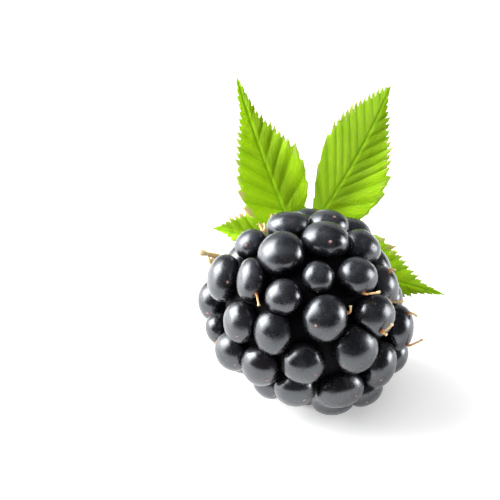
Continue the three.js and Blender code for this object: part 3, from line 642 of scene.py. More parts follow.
def lay_down(drupelets):
    """Sets each drupelet's place in the world and returns the fruit's middle."""
    turned = [LIE @ drupelet.centre for drupelet in drupelets]
    lowest = min(range(len(turned)), key=lambda at: turned[at][2] - drupelets[at].radius)
    middle = np.array([-turned[lowest][0], -turned[lowest][1], CENTRE_HEIGHT])
    for drupelet, place in zip(drupelets, turned):
        drupelet.outward = place / np.linalg.norm(place)
        drupelet.middle = place + middle
        drupelet.middle[2] = max(drupelet.middle[2], drupelet.radius - FLAT_DEPTH)
    return middle


DRUPELETS = place_drupelets()
FRUIT_MIDDLE = lay_down(DRUPELETS)
OFFSET = Vector((FRUIT_MIDDLE[0], FRUIT_MIDDLE[1], 0))


def leaned(origin, across, rise, face):
    return Vector(origin) + ACROSS * across + RISE * rise + FACE * face


def fruit_point(azimuth, distance, height):
    """A point by its azimuth, distance from the fruit's axis and height towards the tip."""
    angle = math.radians(azimuth)
    local = np.array([distance * math.cos(angle), distance * math.sin(angle), height])
    return Vector(LIE @ local + FRUIT_MIDDLE)


# ---- Geometry node trees -------------------------------------------------------------------------

def new_tree(name, sockets):
    tree = bpy.data.node_groups.new(name, "GeometryNodeTree")
    tree.interface.new_socket(name="Seeds", in_out="INPUT", socket_type="NodeSocketGeometry")
    for label, kind in sockets:
        tree.interface.new_socket(name=label, in_out="INPUT", socket_type=kind)
    tree.interface.new_socket(name="Grown", in_out="OUTPUT", socket_type="NodeSocketGeometry")
    given = tree.nodes.new("NodeGroupInput")
    return tree, given


def attribute_node(tree, name, kind="FLOAT"):
    made = tree.nodes.new("GeometryNodeInputNamedAttribute")
    made.data_type = kind
    made.inputs["Name"].default_value = name
    return made.outputs["Attribute"]


def finish_tree(tree, given, geometry):
    """Ends a tree: real geometry, smooth faces, its material."""
    link = tree.links.new
    real = tree.nodes.new("GeometryNodeRealizeInstances")
    link(geometry, real.inputs["Geometry"])
    smooth = tree.nodes.new("GeometryNodeSetShadeSmooth")
    link(real.outputs["Geometry"], smooth.inputs["Geometry"])
    coat = tree.nodes.new("GeometryNodeSetMaterial")
    link(smooth.outputs["Geometry"], coat.inputs["Geometry"])
    link(given.outputs["Material"], coat.inputs["Material"])
    end = tree.nodes.new("NodeGroupOutput")
    link(coat.outputs["Geometry"], end.inputs["Grown"])


def seated(tree, given, shape):
    """Instances of a shape on the seeds, turned by their outward and sized by their radius."""
    link = tree.links.new
    seat = tree.nodes.new("GeometryNodeInstanceOnPoints")
    link(given.outputs["Seeds"], seat.inputs["Points"])
    link(shape, seat.inputs["Instance"])
    turn = tree.nodes.new("FunctionNodeAlignRotationToVector")
    turn.axis = "Z"
    link(attribute_node(tree, "outward", "FLOAT_VECTOR"), turn.inputs["Vector"])
    link(turn.outputs["Rotation"], seat.inputs["Rotation"])
    link(attribute_node(tree, "radius"), seat.inputs["Scale"])
    return seat.outputs["Instances"]


def heads_tree():
    """A round head on every seed."""
    tree, given = new_tree("drupelet_heads", [
        ("Segments", "NodeSocketInt"), ("Rings", "NodeSocketInt"),
        ("Material", "NodeSocketMaterial")])
    ball = tree.nodes.new("GeometryNodeMeshUVSphere")
    ball.inputs["Radius"].default_value = 1
    tree.links.new(given.outputs["Segments"], ball.inputs["Segments"])
    tree.links.new(given.outputs["Rings"], ball.inputs["Rings"])
    finish_tree(tree, given, seated(tree, given, ball.outputs["Mesh"]))
    return tree


def scars_tree():
    """A low ring with a dot in it on every seed: what a fallen style leaves."""
    tree, given = new_tree("style_scars", [
        ("Sides", "NodeSocketInt"), ("Lip", "NodeSocketFloat"), ("Height", "NodeSocketFloat"),
        ("Material", "NodeSocketMaterial")])
    link = tree.links.new
    rim = tree.nodes.new("GeometryNodeCurvePrimitiveCircle")
    rim.inputs["Radius"].default_value = SCAR_RIM
    link(given.outputs["Sides"], rim.inputs["Resolution"])
    lip = tree.nodes.new("GeometryNodeCurvePrimitiveCircle")
    lip.inputs["Resolution"].default_value = SCAR_LIP_SIDES
    link(given.outputs["Lip"], lip.inputs["Radius"])
    tube = tree.nodes.new("GeometryNodeCurveToMesh")
    link(rim.outputs["Curve"], tube.inputs["Curve"])
    link(lip.outputs["Curve"], tube.inputs["Profile Curve"])
    dot = tree.nodes.new("GeometryNodeMeshUVSphere")
    dot.inputs["Segments"].default_value = SCAR_DOT_SEGMENTS
    dot.inputs["Rings"].default_value = SCAR_DOT_RINGS
    dot.inputs["Radius"].default_value = SCAR_DOT
    both = tree.nodes.new("GeometryNodeJoinGeometry")
    link(tube.outputs["Mesh"], both.inputs["Geometry"])
    link(dot.outputs["Mesh"], both.inputs["Geometry"])
    flat = tree.nodes.new("GeometryNodeTransform")
    squash = tree.nodes.new("ShaderNodeCombineXYZ")
    squash.inputs["X"].default_value = 1
    squash.inputs["Y"].default_value = 1
    link(given.outputs["Height"], squash.inputs["Z"])
    link(squash.outputs["Vector"], flat.inputs["Scale"])
    link(both.outputs["Geometry"], flat.inputs["Geometry"])
    finish_tree(tree, given, seated(tree, given, flat.outputs["Geometry"]))
    return tree


def strands_tree():
    """A tube along every line of seeds, as thick as each point says."""
    tree, given = new_tree("strands", [
        ("Sides", "NodeSocketInt"), ("Material", "NodeSocketMaterial")])
    link = tree.links.new
    line = tree.nodes.new("GeometryNodeMeshToCurve")
    link(given.outputs["Seeds"], line.inputs["Mesh"])
    section = tree.nodes.new("GeometryNodeCurvePrimitiveCircle")
    section.inputs["Radius"].default_value = MM
    link(given.outputs["Sides"], section.inputs["Resolution"])
    tube = tree.nodes.new("GeometryNodeCurveToMesh")
    tube.inputs["Fill Caps"].default_value = True
    link(line.outputs["Curve"], tube.inputs["Curve"])
    link(attribute_node(tree, "thickness"), tube.inputs["Scale"])
    link(section.outputs["Curve"], tube.inputs["Profile Curve"])
    finish_tree(tree, given, tube.outputs["Mesh"])
    return tree


def grow(name, seeds, tree, **values):
    """Runs a tree on a mesh of seeds and returns a plain mesh object."""
    carrier = bpy.data.objects.new(name + "_seeds", seeds)
    bpy.context.scene.collection.objects.link(carrier)
    modifier = carrier.modifiers.new("grow", "NODES")
    modifier.node_group = tree
    for item in tree.interface.items_tree:
        if item.item_type == "SOCKET" and item.in_out == "INPUT" and item.name in values:
            modifier[item.identifier] = values[item.name]
    depsgraph = bpy.context.evaluated_depsgraph_get()
    mesh = bpy.data.meshes.new_from_object(carrier.evaluated_get(depsgraph))
    carrier.modifiers.remove(modifier)
    bpy.data.objects.remove(carrier)
    mesh.name = name
    piece = bpy.data.objects.new(name, mesh)
    bpy.context.scene.collection.objects.link(piece)
    return piece


def point_seeds(name, places, outwards, radii):
    mesh = bpy.data.meshes.new(name)
    mesh.from_pydata([tuple(np.asarray(place) * MM) for place in places], [], [])
    set_values(mesh, "outward", outwards, "FLOAT_VECTOR")
    set_values(mesh, "radius", np.asarray(radii) * MM)
    set_values(mesh, "number", range(len(places)))
    return mesh


def line_seeds(name, strands):
    """Seeds for strands, each a list of points with a list of half-thicknesses."""
    points, edges, thickness, along, tone = [], [], [], [], []
    for number, (line, widths) in enumerate(strands):
        first = len(points)
        points += [tuple(Vector(point) * MM) for point in line]
        edges += [(at, at + 1) for at in range(first, first + len(line) - 1)]
        thickness += list(widths)
        along += list(np.linspace(0, 1, len(line)))
        tone += [(number * TONE_STEP) % 1] * len(line)
    mesh = bpy.data.meshes.new(name)
    mesh.from_pydata(points, edges, [])
    set_values(mesh, "thickness", thickness)
    set_values(mesh, "along", along)
    set_values(mesh, "tone", tone)
    return mesh


# ---- Materials -----------------------------------------------------------------------------------

class Finish:
    """A material being put together from shader nodes."""

    def __init__(self, name, roughness=0.5):
        self.material = bpy.data.materials.new(name)
        self.material.use_nodes = True
        self.tree = self.material.node_tree
        self.shader = self.tree.nodes["Principled BSDF"]
        self.shader.inputs["Roughness"].default_value = roughness

    def add(self, kind, **settings):
        made = self.tree.nodes.new(kind)
        for name, value in settings.items():
            setattr(made, name, value)
        return made

    def join(self, source, target):
        self.tree.links.new(source, target)

    def place(self):
        """Object coordinates, in metres."""
        return self.add("ShaderNodeTexCoord").outputs["Object"]

    def value(self, name):
        return self.add("ShaderNodeAttribute", attribute_name=name).outputs["Fac"]

    def noise(self, size, detail=3):
        """Noise with features of a size in millimetres."""
        made = self.add("ShaderNodeTexNoise")
        made.inputs["Scale"].default_value = 1 / (size * MM)
        made.inputs["Detail"].default_value = detail
        made.inputs["Roughness"].default_value = NOISE_ROUGHNESS
        self.join(self.place(), made.inputs["Vector"])
        return made.outputs["Fac"]

    def maths(self, operation, first, second=None):
        made = self.add("ShaderNodeMath", operation=operation)
        for socket, given in zip(made.inputs, (first, second)):
            if isinstance(given, (int, float)):
                socket.default_value = given
            elif given is not None:
                self.join(given, socket)
        return made.outputs["Value"]

    def between(self, value, low, high, to_low=0.0, to_high=1.0):
        made = self.add("ShaderNodeMapRange", interpolation_type="SMOOTHSTEP")
        for label, given in (("From Min", low), ("From Max", high),
                             ("To Min", to_low), ("To Max", to_high)):
            made.inputs[label].default_value = given
        self.join(value, made.inputs["Value"])
        return made.outputs["Result"]

    def ramp(self, value, *stops):
        """Colours from stops, each a value and the colour there."""
        made = self.add("ShaderNodeValToRGB")
        elements = made.color_ramp.elements
        while len(elements) < len(stops):
            elements.new(0.5)
        for element, (at, colour) in zip(elements, stops):
            element.position = at
            element.color = (*colour, 1)
        self.join(value, made.inputs["Fac"])
        return made.outputs["Color"]

    def mottle(self, value, colours, low=0.3, high=0.7):
        """From the first of two colours to the second."""
        return self.ramp(value, (low, colours[0]), (high, colours[1]))

    def blend(self, share, first, second):
        made = self.add("ShaderNodeMix", data_type="RGBA")
        sockets = made.inputs[0], made.inputs[6], made.inputs[7]
        for socket, given in zip(sockets, (share, first, second)):
            if isinstance(given, tuple):
                socket.default_value = (*given, 1)
            elif isinstance(given, (int, float)):
                socket.default_value = given
            else:
                self.join(given, socket)
        return made.outputs[2]

    def bump(self, height, depth, strength=1.0, under=None):
        """Relief of a depth in millimetres."""
        made = self.add("ShaderNodeBump")
        made.inputs["Distance"].default_value = depth * MM
        made.inputs["Strength"].default_value = strength
        self.join(height, made.inputs["Height"])
        if under is not None:
            self.join(under, made.inputs["Normal"])
        return made.outputs["Normal"]

    def wear(self, colour=None, roughness=None, normal=None):
        for label, source in (("Base Color", colour), ("Roughness", roughness), ("Normal", normal)):
            if source is not None:
                self.join(source, self.shader.inputs[label])
        return self.material


def berry_skin():
    """Near-black skin, glossy under a thin waxy bloom, with painted sheen on its lit side."""
    skin = Finish("berry_skin")
    cloud = skin.noise(1.6, 4)
    grain = skin.noise(0.22, 2)
    fine = skin.noise(0.07, 2)
    dark = skin.mottle(cloud, SKIN_DARK)
    ripe = skin.mottle(cloud, SKIN_RIPE)
    colour = skin.blend(skin.between(skin.value("tone"), 0.6, 1.0), dark, ripe)
    colour = skin.blend(skin.maths("MULTIPLY", skin.value("scar"), 0.6), colour, STAIN_RED)
    # Grey waxy bloom with painted sheen, on the lit side of the highest drupelets.
    bloom_and_sheen = skin.maths("MULTIPLY", skin.value("bloom_and_sheen"), skin.between(cloud, 0.35, 0.65, 0.4, 1.0))
    colour = skin.blend(bloom_and_sheen, colour, BLOOM_AND_SHEEN_GREY)
    gloss = skin.between(cloud, 0.35, 0.7, 0.20, 0.34)
    gloss = skin.maths("ADD", gloss, skin.between(grain, 0.3, 0.7, -0.03, 0.05))
    relief = skin.bump(fine, 0.004, 0.35, skin.bump(grain, 0.014, 0.3))
    skin.shader.inputs["IOR"].default_value = SKIN_IOR
    skin.shader.inputs["Specular Tint"].default_value = SKIN_GLINT
    return skin.wear(colour, gloss, relief)


def painted_shade_core():
    """Dull and darker than the skin: painted shade for the deep gaps, where alone it shows."""
    flesh = Finish("berry_core", 0.6)
    colour = flesh.mottle(flesh.noise(1.2), CORE_SHADE_BLACK)
    flesh.shader.inputs["Specular IOR Level"].default_value = 0.05
    return flesh.wear(colour, None, flesh.bump(flesh.noise(0.3), 0.05, 0.5))


def style_straw():
    """Dried styles: red-brown at the foot, straw at the knob."""
    straw = Finish("style_straw", 0.55)
    uneven = straw.maths("MULTIPLY", straw.noise(0.3), 0.15)
    along = straw.maths("ADD", straw.value("along"), uneven)
    colour = straw.ramp(
        along, (0.0, STYLE_RED), (0.28, STYLE_RUST), (0.5, STYLE_STRAW), (1.1, STYLE_PALE))
    straw.shader.inputs["Subsurface Weight"].default_value = 0.15
    straw.shader.inputs["Subsurface Scale"].default_value = 0.2 * MM
    return straw.wear(colour, None, straw.bump(straw.noise(0.08), 0.02, 0.6))


def scar_skin():
    """Dried brown and corky."""
    scar = Finish("style_scar", 0.5)
    colour = scar.mottle(scar.noise(0.12), SCAR_BROWN, 0.35, 0.6)
    return scar.wear(colour, None, scar.bump(scar.noise(0.06), 0.02, 0.5))


def stamen_straw():
    """Dried stamens and bristles: pale straw with brown patches."""
    straw = Finish("stamen_straw", 0.6)
    colour = straw.ramp(
        straw.noise(0.5, 4), (0.3, STAMEN_BROWN), (0.5, STAMEN_STRAW), (0.7, STAMEN_PALE))
    return straw.wear(colour, None, straw.bump(straw.noise(0.12), 0.04, 0.7))


def sepal_down():
    """Grey-green down, brown at the edges."""
    down = Finish("sepal_down", 0.8)
    green = down.mottle(down.noise(0.8, 4), SEPAL_GREEN)
    colour = down.blend(down.between(down.value("edge"), 0.4, 1.0), green, SEPAL_BROWN)
    down.shader.inputs["Sheen Weight"].default_value = 0.4
    return down.wear(colour, None, down.bump(down.noise(0.1), 0.03, 0.6))


def stalk_bark():
    """Green with a red flush, and pale pith at the cut."""
    bark = Finish("stalk_bark", 0.55)
    green = bark.mottle(bark.noise(1.5, 4), STALK_GREEN)
    flush = bark.between(bark.noise(3.0, 2), 0.5, 0.7)
    colour = bark.blend(bark.maths("MULTIPLY", flush, 0.6), green, STALK_FLUSH)
    colour = bark.blend(bark.between(bark.value("cut"), 0.2, 0.8), colour, STALK_PITH)
    return bark.wear(colour, None, bark.bump(bark.noise(0.25, 4), 0.04, 0.5))


def leaf_green():
    """Yellow-green blade with sunk side veins, a fine net between them, tinted teeth, and painted
    light and shade.
    """
    leaf = Finish("leaf_green")
    spread = leaf.add("ShaderNodeUVMap", uv_map="pattern").outputs["UV"]
    parts = leaf.add("ShaderNodeSeparateXYZ")
    leaf.join(spread, parts.inputs["Vector"])
    aside, along = parts.outputs["X"], parts.outputs["Y"]
    vein = leaf.maths("PINGPONG", along, 0.5 * VEIN_UNIT)
    groove_shade = leaf.between(vein, 0.0, GROOVE_HALF_WIDTH, 1.0, 0.0)
    crest_light = leaf.between(vein, CREST_START, 0.5 * VEIN_UNIT)
    net = leaf.add("ShaderNodeTexVoronoi", feature="DISTANCE_TO_EDGE")
    net.inputs["Scale"].default_value = NET_FINENESS
    leaf.join(spread, net.inputs["Vector"])
    cell = leaf.between(net.outputs["Distance"], 0.0, 0.25)
    cloud = leaf.noise(3.5, 3)
    colour = leaf.mottle(cloud, BLADE_GREEN)
    # Painted light on the crests between the side veins.
    colour = leaf.blend(leaf.maths("MULTIPLY", crest_light, 0.5), colour, CREST_LIGHT_GREEN)
    colour = leaf.blend(leaf.maths("MULTIPLY", cell, 0.3), colour, CELL_GREEN)
    # Specks, fewer on the left half and near the base.
    speck = leaf.between(leaf.noise(0.3, 2), 0.46, 0.66)
    patch = leaf.between(leaf.noise(3.0, 2), 0.42, 0.62, 0.05, 0.4)
    outer = leaf.between(aside, 0.04, 0.16, 0.35, 1.0)
    upper = leaf.between(along, 1.0, 1.5, 0.2, 1.0)
    speckle = leaf.maths("MULTIPLY", speck, patch)
    speckle = leaf.maths("MULTIPLY", speckle, leaf.maths("MULTIPLY", outer, upper))
    colour = leaf.blend(speckle, colour, SPECK_OLIVE)
    # Painted light on a half turned towards the lamps.
    colour = leaf.blend(leaf.value("pale"), colour, PAINTED_LIGHT_GREEN)
    # Painted shade in the grooves of the side veins.
    colour = leaf.blend(leaf.maths("MULTIPLY", groove_shade, 0.3), colour, GROOVE_SHADE_GREEN)
    # Painted shade: the right half is darker beside the midrib, where it turns from the light.
    shade = leaf.maths(
        "MULTIPLY", leaf.between(aside, 0.0, 0.05), leaf.between(aside, 0.10, 0.34, 0.8, 0.0))
    colour = leaf.blend(shade, colour, SHADE_GREEN)
    # Painted shade along the sunk midrib.
    midrib = leaf.between(leaf.maths("ABSOLUTE", aside), 0.006, 0.026, 0.6, 0.0)
    colour = leaf.blend(midrib, colour, MIDRIB_SHADE_GREEN)
    # The teeth's tips have dried, most of all near the base.
    frill = leaf.maths("MULTIPLY", leaf.between(along, 0.6, 1.1, 1.0, 0.4), leaf.value("dry"))
    frill = leaf.maths("MULTIPLY", leaf.between(leaf.value("edge"), 0.25, 0.9), frill)
    colour = leaf.blend(frill, colour, FRILL_BROWN)
    leaf.shader.inputs["Specular IOR Level"].default_value = 0.1
    leaf.shader.inputs["Subsurface Weight"].default_value = 0.2
    leaf.shader.inputs["Subsurface Radius"].default_value = BLADE_GLOW
    leaf.shader.inputs["Subsurface Scale"].default_value = 0.4 * MM
    return leaf.wear(colour, leaf.between(cloud, 0.3, 0.7, 0.42, 0.55), leaf.bump(cell, 0.04, 0.6))


def floor_white():
    white = Finish("floor_white", 0.7)
    white.shader.inputs["Emission Color"].default_value = (1, 1, 1, 1)
    white.shader.inputs["Emission Strength"].default_value = FLOOR_GLOW
    white.shader.inputs["Specular IOR Level"].default_value = 0.2
    return white.wear(white.mottle(white.noise(60, 1), FLOOR_WHITE))


# ---- The fruit -----------------------------------------------------------------------------------

def drupelet_at(ring, place):
    return DRUPELETS[find_drupelet(DRUPELETS, ring, place)]


def front_foot(drupelet, across, up):
    """The direction from a drupelet's middle to a place seen from the front."""
    out = math.sqrt(max(0, (FOOT_REACH * drupelet.radius) ** 2 - across ** 2 - up ** 2))
    return leaned((0, 0, 0), across, up, out).normalized()


def tip_foot(drupelet):
    """The usual place of a style, on the tipward side of the top, and the way to the tip."""
    outward = Vector(drupelet.outward)
    tipward = (TIP_DIRECTION - outward * TIP_DIRECTION.dot(outward)).normalized()
    lean = math.radians(STYLE_LEAN)
    return outward * math.cos(lean) + tipward * math.sin(lean), tipward


def find_styles():
    """Every style that is still on: its drupelet, the direction of its foot, and its run."""
    styles = []
    for ring, place, (across, up), run in FRONT_STYLES:
        drupelet = drupelet_at(ring, place)
        styles.append((drupelet, front_foot(drupelet, across, up), leaned((0, 0, 0), *run)))
    for ring, place, turn, length in BACK_STYLES:
        drupelet = drupelet_at(ring, place)
        foot, tipward = tip_foot(drupelet)
        sideways = foot.cross(tipward).normalized()
        swing = math.radians(turn)
        bend = tipward * math.cos(swing) + sideways * math.sin(swing) + foot * STYLE_STANCE
        styles.append((drupelet, foot, bend.normalized() * length))
    return styles


def find_scars(styles):
    """Where a style has fallen: a drupelet and a direction."""
    scars = []
    for ring, place, across, up in FRONT_SCARS:
        drupelet = drupelet_at(ring, place)
        scars.append((drupelet, front_foot(drupelet, across, up)))
    marked = [drupelet for drupelet, *_ in styles + scars]
    for drupelet in DRUPELETS:
        bare = not any(drupelet is other for other in marked)
        if bare and drupelet.middle[2] > SCAR_LOWEST:
            scars.append((drupelet, tip_foot(drupelet)[0]))
    return scars


def pressed_radius(drupelet, directions):
    """How far the skin is along each direction, where neighbours and the surface press it flat."""
    upright = (directions @ drupelet.outward) ** 2
    wide = drupelet.radius * DRUPELET_WIDTH
    across, up, face = (directions @ np.array(axis) for axis in (ACROSS, RISE, FACE))
    stretch = (across * drupelet.tall) ** 2 + (up / drupelet.tall) ** 2 + face ** 2
    limits = [1 / np.sqrt(stretch * (upright / drupelet.radius ** 2 + (1 - upright) / wide ** 2))]
    for other in DRUPELETS:
        gap = other.middle - drupelet.middle
        distance = np.linalg.norm(gap)
        if other is drupelet or distance > PRESS_REACH * wide:
            continue
        plane = (distance ** 2 + drupelet.radius ** 2 - other.radius ** 2) / (2 * distance)
        limits.append(PRESS_SHRINK * plane / np.maximum(directions @ (gap / distance), LEAST_SLOPE))
    limits.append((drupelet.middle[2] - SURFACE_GAP) / np.maximum(-directions[:, 2], LEAST_SLOPE))
    limits = np.minimum(np.array(limits), PRESS_REACH * wide)
    return -PRESS_EDGE * np.log(np.exp(-limits / PRESS_EDGE).sum(axis=0))


def make_drupelets(styles, scars):
    feet = [
        [foot for other, foot, *_ in styles + scars if other is drupelet] for drupelet in DRUPELETS]
    seeds = point_seeds(
        "drupelet_seeds", [d.middle for d in DRUPELETS], [d.outward for d in DRUPELETS],
        [d.radius for d in DRUPELETS])
    piece = grow(
        "drupelets", seeds, heads_tree(), Segments=HEAD_SEGMENTS, Rings=HEAD_RINGS,
        Material=berry_skin())
    mesh = piece.data
    places = np.empty(len(mesh.vertices) * 3, dtype=np.float32)
    mesh.vertices.foreach_get("co", places)
    places = places.reshape(-1, 3).astype(float) / MM
    number = np.empty(len(mesh.vertices), dtype=np.float32)
    mesh.attributes["number"].data.foreach_get("value", number)
    number = np.rint(number).astype(int)
    scar = np.zeros(len(places))
    bloom_and_sheen = np.zeros(len(places))
    for at, drupelet in enumerate(DRUPELETS):
        mine = np.flatnonzero(number == at)
        directions = unit(places[mine] - drupelet.middle)
        radius = pressed_radius(drupelet, directions)
        lump = np.array([
            noise.noise(Vector(direction / LUMP_SIZE) + Vector((at * LUMP_STEP, 0, 0)))
            for direction in directions])
        radius = radius + drupelet.radius * LUMPS * (lump - LUMP_MEAN)
        for foot in feet[at]:
            away = np.arccos(np.clip(directions @ np.array(foot), -1, 1)) * drupelet.radius
            radius = radius - PIT_DEPTH * np.exp(-(away / PIT_RADIUS) ** 2)
            scar[mine] = np.maximum(scar[mine], np.exp(-(away / STAIN_RADIUS) ** 2))
        # Painted sheen: bloom grey on the side of each high drupelet that faces the light.
        facing = smooth_step(*SHEEN_FACING, directions @ np.array(SHEEN_SIDE))
        bloom_and_sheen[mine] = BLOOM_AND_SHEEN * facing * smooth_step(*SHEEN_ON_TOP, drupelet.outward[2])
        places[mine] = drupelet.middle + directions * radius[:, None]
    places[:, 2] = np.maximum(places[:, 2], 0.0)
    mesh.vertices.foreach_set("co", (places * MM).astype(np.float32).ravel())
    set_values(mesh, "scar", scar)
    set_values(mesh, "bloom_and_sheen", bloom_and_sheen)
    set_values(mesh, "tone", (number * TONE_STEP) % 1)
    mesh.update()
    return piece


def make_core():
    seeds = point_seeds("core_seeds", [FRUIT_MIDDLE], [tuple(TIP_DIRECTION)], [CORE_RADIUS])
    return grow(
        "berry_core", seeds, heads_tree(), Segments=CORE_SEGMENTS, Rings=CORE_RINGS,
        Material=painted_shade_core())


def skin_place(drupelet, foot, height=0.0):
    """A place at a height over the skin, in the direction of a foot."""
    skin = float(pressed_radius(drupelet, np.array([foot]))[0])
    return Vector(drupelet.middle) + foot * (skin + height)


def make_styles(styles):
    strands = []
    for drupelet, foot, run in styles:
        root = skin_place(drupelet, foot, -STYLE_ROOT)
        knee = skin_place(drupelet, foot, STYLE_KNEE)
        end = skin_place(drupelet, foot) + run
        elbow = knee.lerp(end, STYLE_ELBOW) + foot * STYLE_BULGE
        line = spline([root, knee, elbow, end], SPLINE_STEPS)
        widths = [STYLE_THICKNESS * style_width(at / (len(line) - 1)) for at in range(len(line))]
        strands.append((line, widths))
    return grow(
        "dried_styles", line_seeds("style_lines", strands), STRANDS, Sides=STRAND_SIDES,
        Material=style_straw())


def style_width(share):
    """A swollen foot, a thin run and a knob at the end."""
    foot = FOOT_SWELL * hump(share, FOOT_SPREAD)
    knob = KNOB_SWELL * hump(share, KNOB_SPREAD, KNOB_PLACE)
    tail = 1 - 0.5 * max(0, (share - (1 - KNOB_CLOSE)) / KNOB_CLOSE)
    return (STYLE_RUN + foot + knob) * tail


def make_scars(scars):
    places = [skin_place(drupelet, foot, -SCAR_DEPTH) for drupelet, foot in scars]
    sizes = [SCAR_SIZES[at % len(SCAR_SIZES)] for at in range(len(scars))]
    seeds = point_seeds("scar_seeds", places, [foot for _, foot in scars], sizes)
    return grow(
        "style_scars", seeds, scars_tree(), Sides=SCAR_RIM_SIDES, Lip=SCAR_LIP, Height=SCAR_HEIGHT,
        Material=scar_skin())


# ---- Calyx and stamens ---------------------------------------------------------------------------

def sepal_point(number, share, u, under):
    """A point of a sepal by its share of the length and its place across, from -1 to 1."""
    distance = SEPAL_ROOT + (SEPAL_REACH - SEPAL_ROOT) * share
    arch = math.sin(math.pi * (SEPAL_WAIST + (1 - SEPAL_WAIST) * share))
    x = u * (SEPAL_HALF_WIDTH * arch ** SEPAL_FULLNESS + SEPAL_TIP)
    ripple = math.sin(SEPAL_RIPPLES[0] * share + SEPAL_RIPPLES[1] * u + number)
    cup = SEPAL_CUP * u * u + SEPAL_RIPPLE * ripple
    height = DISC_BASE + DISC_EDGE - SEPAL_DROOP * share ** 2 - cup
    thick = 0.5 * SEPAL_THICKNESS * (1 - SEPAL_THINNING * u * u) * (1 + SEPAL_TIP_THICKNESS - share)
    height += -thick if under else thick
    azimuth = SEPAL_START + 360 * number / SEPALS
    return fruit_point(
        azimuth + math.degrees(math.atan2(x, distance)), math.hypot(x, distance), height)


def make_calyx(material):
    points, edge = [], []
    for distance, height in DISC_PROFILE:
        for segment in range(DISC_SEGMENTS):
            points.append(fruit_point(360 * segment / DISC_SEGMENTS, distance, height))
            edge.append(0)
    faces = grid_faces(len(DISC_PROFILE), DISC_SEGMENTS, True)
    faces.append(tuple(range(DISC_SEGMENTS - 1, -1, -1)))
    faces.append(tuple(range(len(points) - DISC_SEGMENTS, len(points))))
    for number in range(SEPALS):
        faces += sheet_faces(SEPAL_ROWS, SEPAL_COLUMNS, len(points))
        for under in (False, True):
            for row in range(SEPAL_ROWS):
                share = row / (SEPAL_ROWS - 1)
                for column in range(SEPAL_COLUMNS):
                    u = 2 * column / (SEPAL_COLUMNS - 1) - 1
                    points.append(sepal_point(number, share, u, under))
                    edge.append(max(abs(u), share) ** SEPAL_BROWNING)
    piece = mesh_piece("calyx_star", points, faces, material)
    set_values(piece.data, "edge", edge)
    return piece


def stamen_line(azimuth, number, reach):
    """From the ring out past its edge and down, each a little askew."""
    middle = 0.5 * (RING_INNER + RING_OUTER)
    shoulder = RING_OUTER + STAMEN_SHOULDER
    turns = 0, 1, 2 * (number % 2), -1
    distances = middle, shoulder, 0.5 * (shoulder + reach), reach
    return spline([
        fruit_point(azimuth + turn, distance, RING_BASE + height)
        for turn, distance, height in zip(turns, distances, STAMEN_HEIGHTS)], STAMEN_STEPS)


def tuft_widths(number, thick, count):
    """Uneven half-thicknesses; the first strand, the tuft itself, ends in a knob."""
    widths = []
    for at in range(count):
        share = at / (count - 1)
        knob = TUFT_KNOB * hump(share, TUFT_KNOB_SPREAD, TUFT_KNOB_PLACE) if number == 0 else 0
        wave = (1 - TUFT_WAVE) + TUFT_WAVE * math.sin(TUFT_WAVES * share + number)
        widths.append(thick * (wave + knob))
    return widths


def make_stamens(material):
    middle = 0.5 * (RING_INNER + RING_OUTER)
    ring = [
        fruit_point(azimuth, middle, 0.5 * (RING_TOP + RING_BASE))
        for azimuth in range(0, 361, RING_STEP)]
    strands = [(ring, [RING_THICKNESS + RING_UNEVEN * (at % 2) for at in range(len(ring))])]
    for gap in range(SEPALS):
        for number in range(STAMENS_A_GAP):
            azimuth = SEPAL_START + 360 * (gap + 0.5) / SEPALS
            azimuth += STAMEN_SPACING * (number - (STAMENS_A_GAP - 1) / 2)
            reach = STAMEN_REACH + STAMEN_UNEVEN * ((gap + 2 * number) % 3)
            line = stamen_line(azimuth, number, reach)
            widths = [STAMEN_THICKNESS] * (len(line) - len(ANTHER))
            strands.append((line, widths + [STAMEN_THICKNESS * swell for swell in ANTHER]))
    for number, (route, thick) in enumerate([(TUFT, TUFT_THICKNESS), *TUFT_SHREDS]):
        line = spline([leaned(FRUIT_MIDDLE, *place) for place in route], SPLINE_STEPS)
        strands.append((line, tuft_widths(number, thick, len(line))))
    return grow(
        "dried_stamen_tuft", line_seeds("stamen_lines", strands), STRANDS, Sides=STRAND_SIDES,
        Material=material)


# ---- Stalk ---------------------------------------------------------------------------------------

def stalk_radius(angle, share, to_knot):
    """The stalk's radius at an angle around it, with its ridges and the swelling at the knot."""
    swell = (KNOT_RADIUS - STALK_RADIUS) * hump(to_knot, KNOT_SPREAD)
    ridge = STALK_RIDGE * math.cos(STALK_RIDGES * angle + STALK_TWIST * share)
    ridge += STALK_RIPPLE * math.sin(STALK_RIPPLES[0] * share + STALK_RIPPLES[1] * angle)
    return STALK_RADIUS * STALK_SLIMMING + swell + ridge - STALK_SKIN


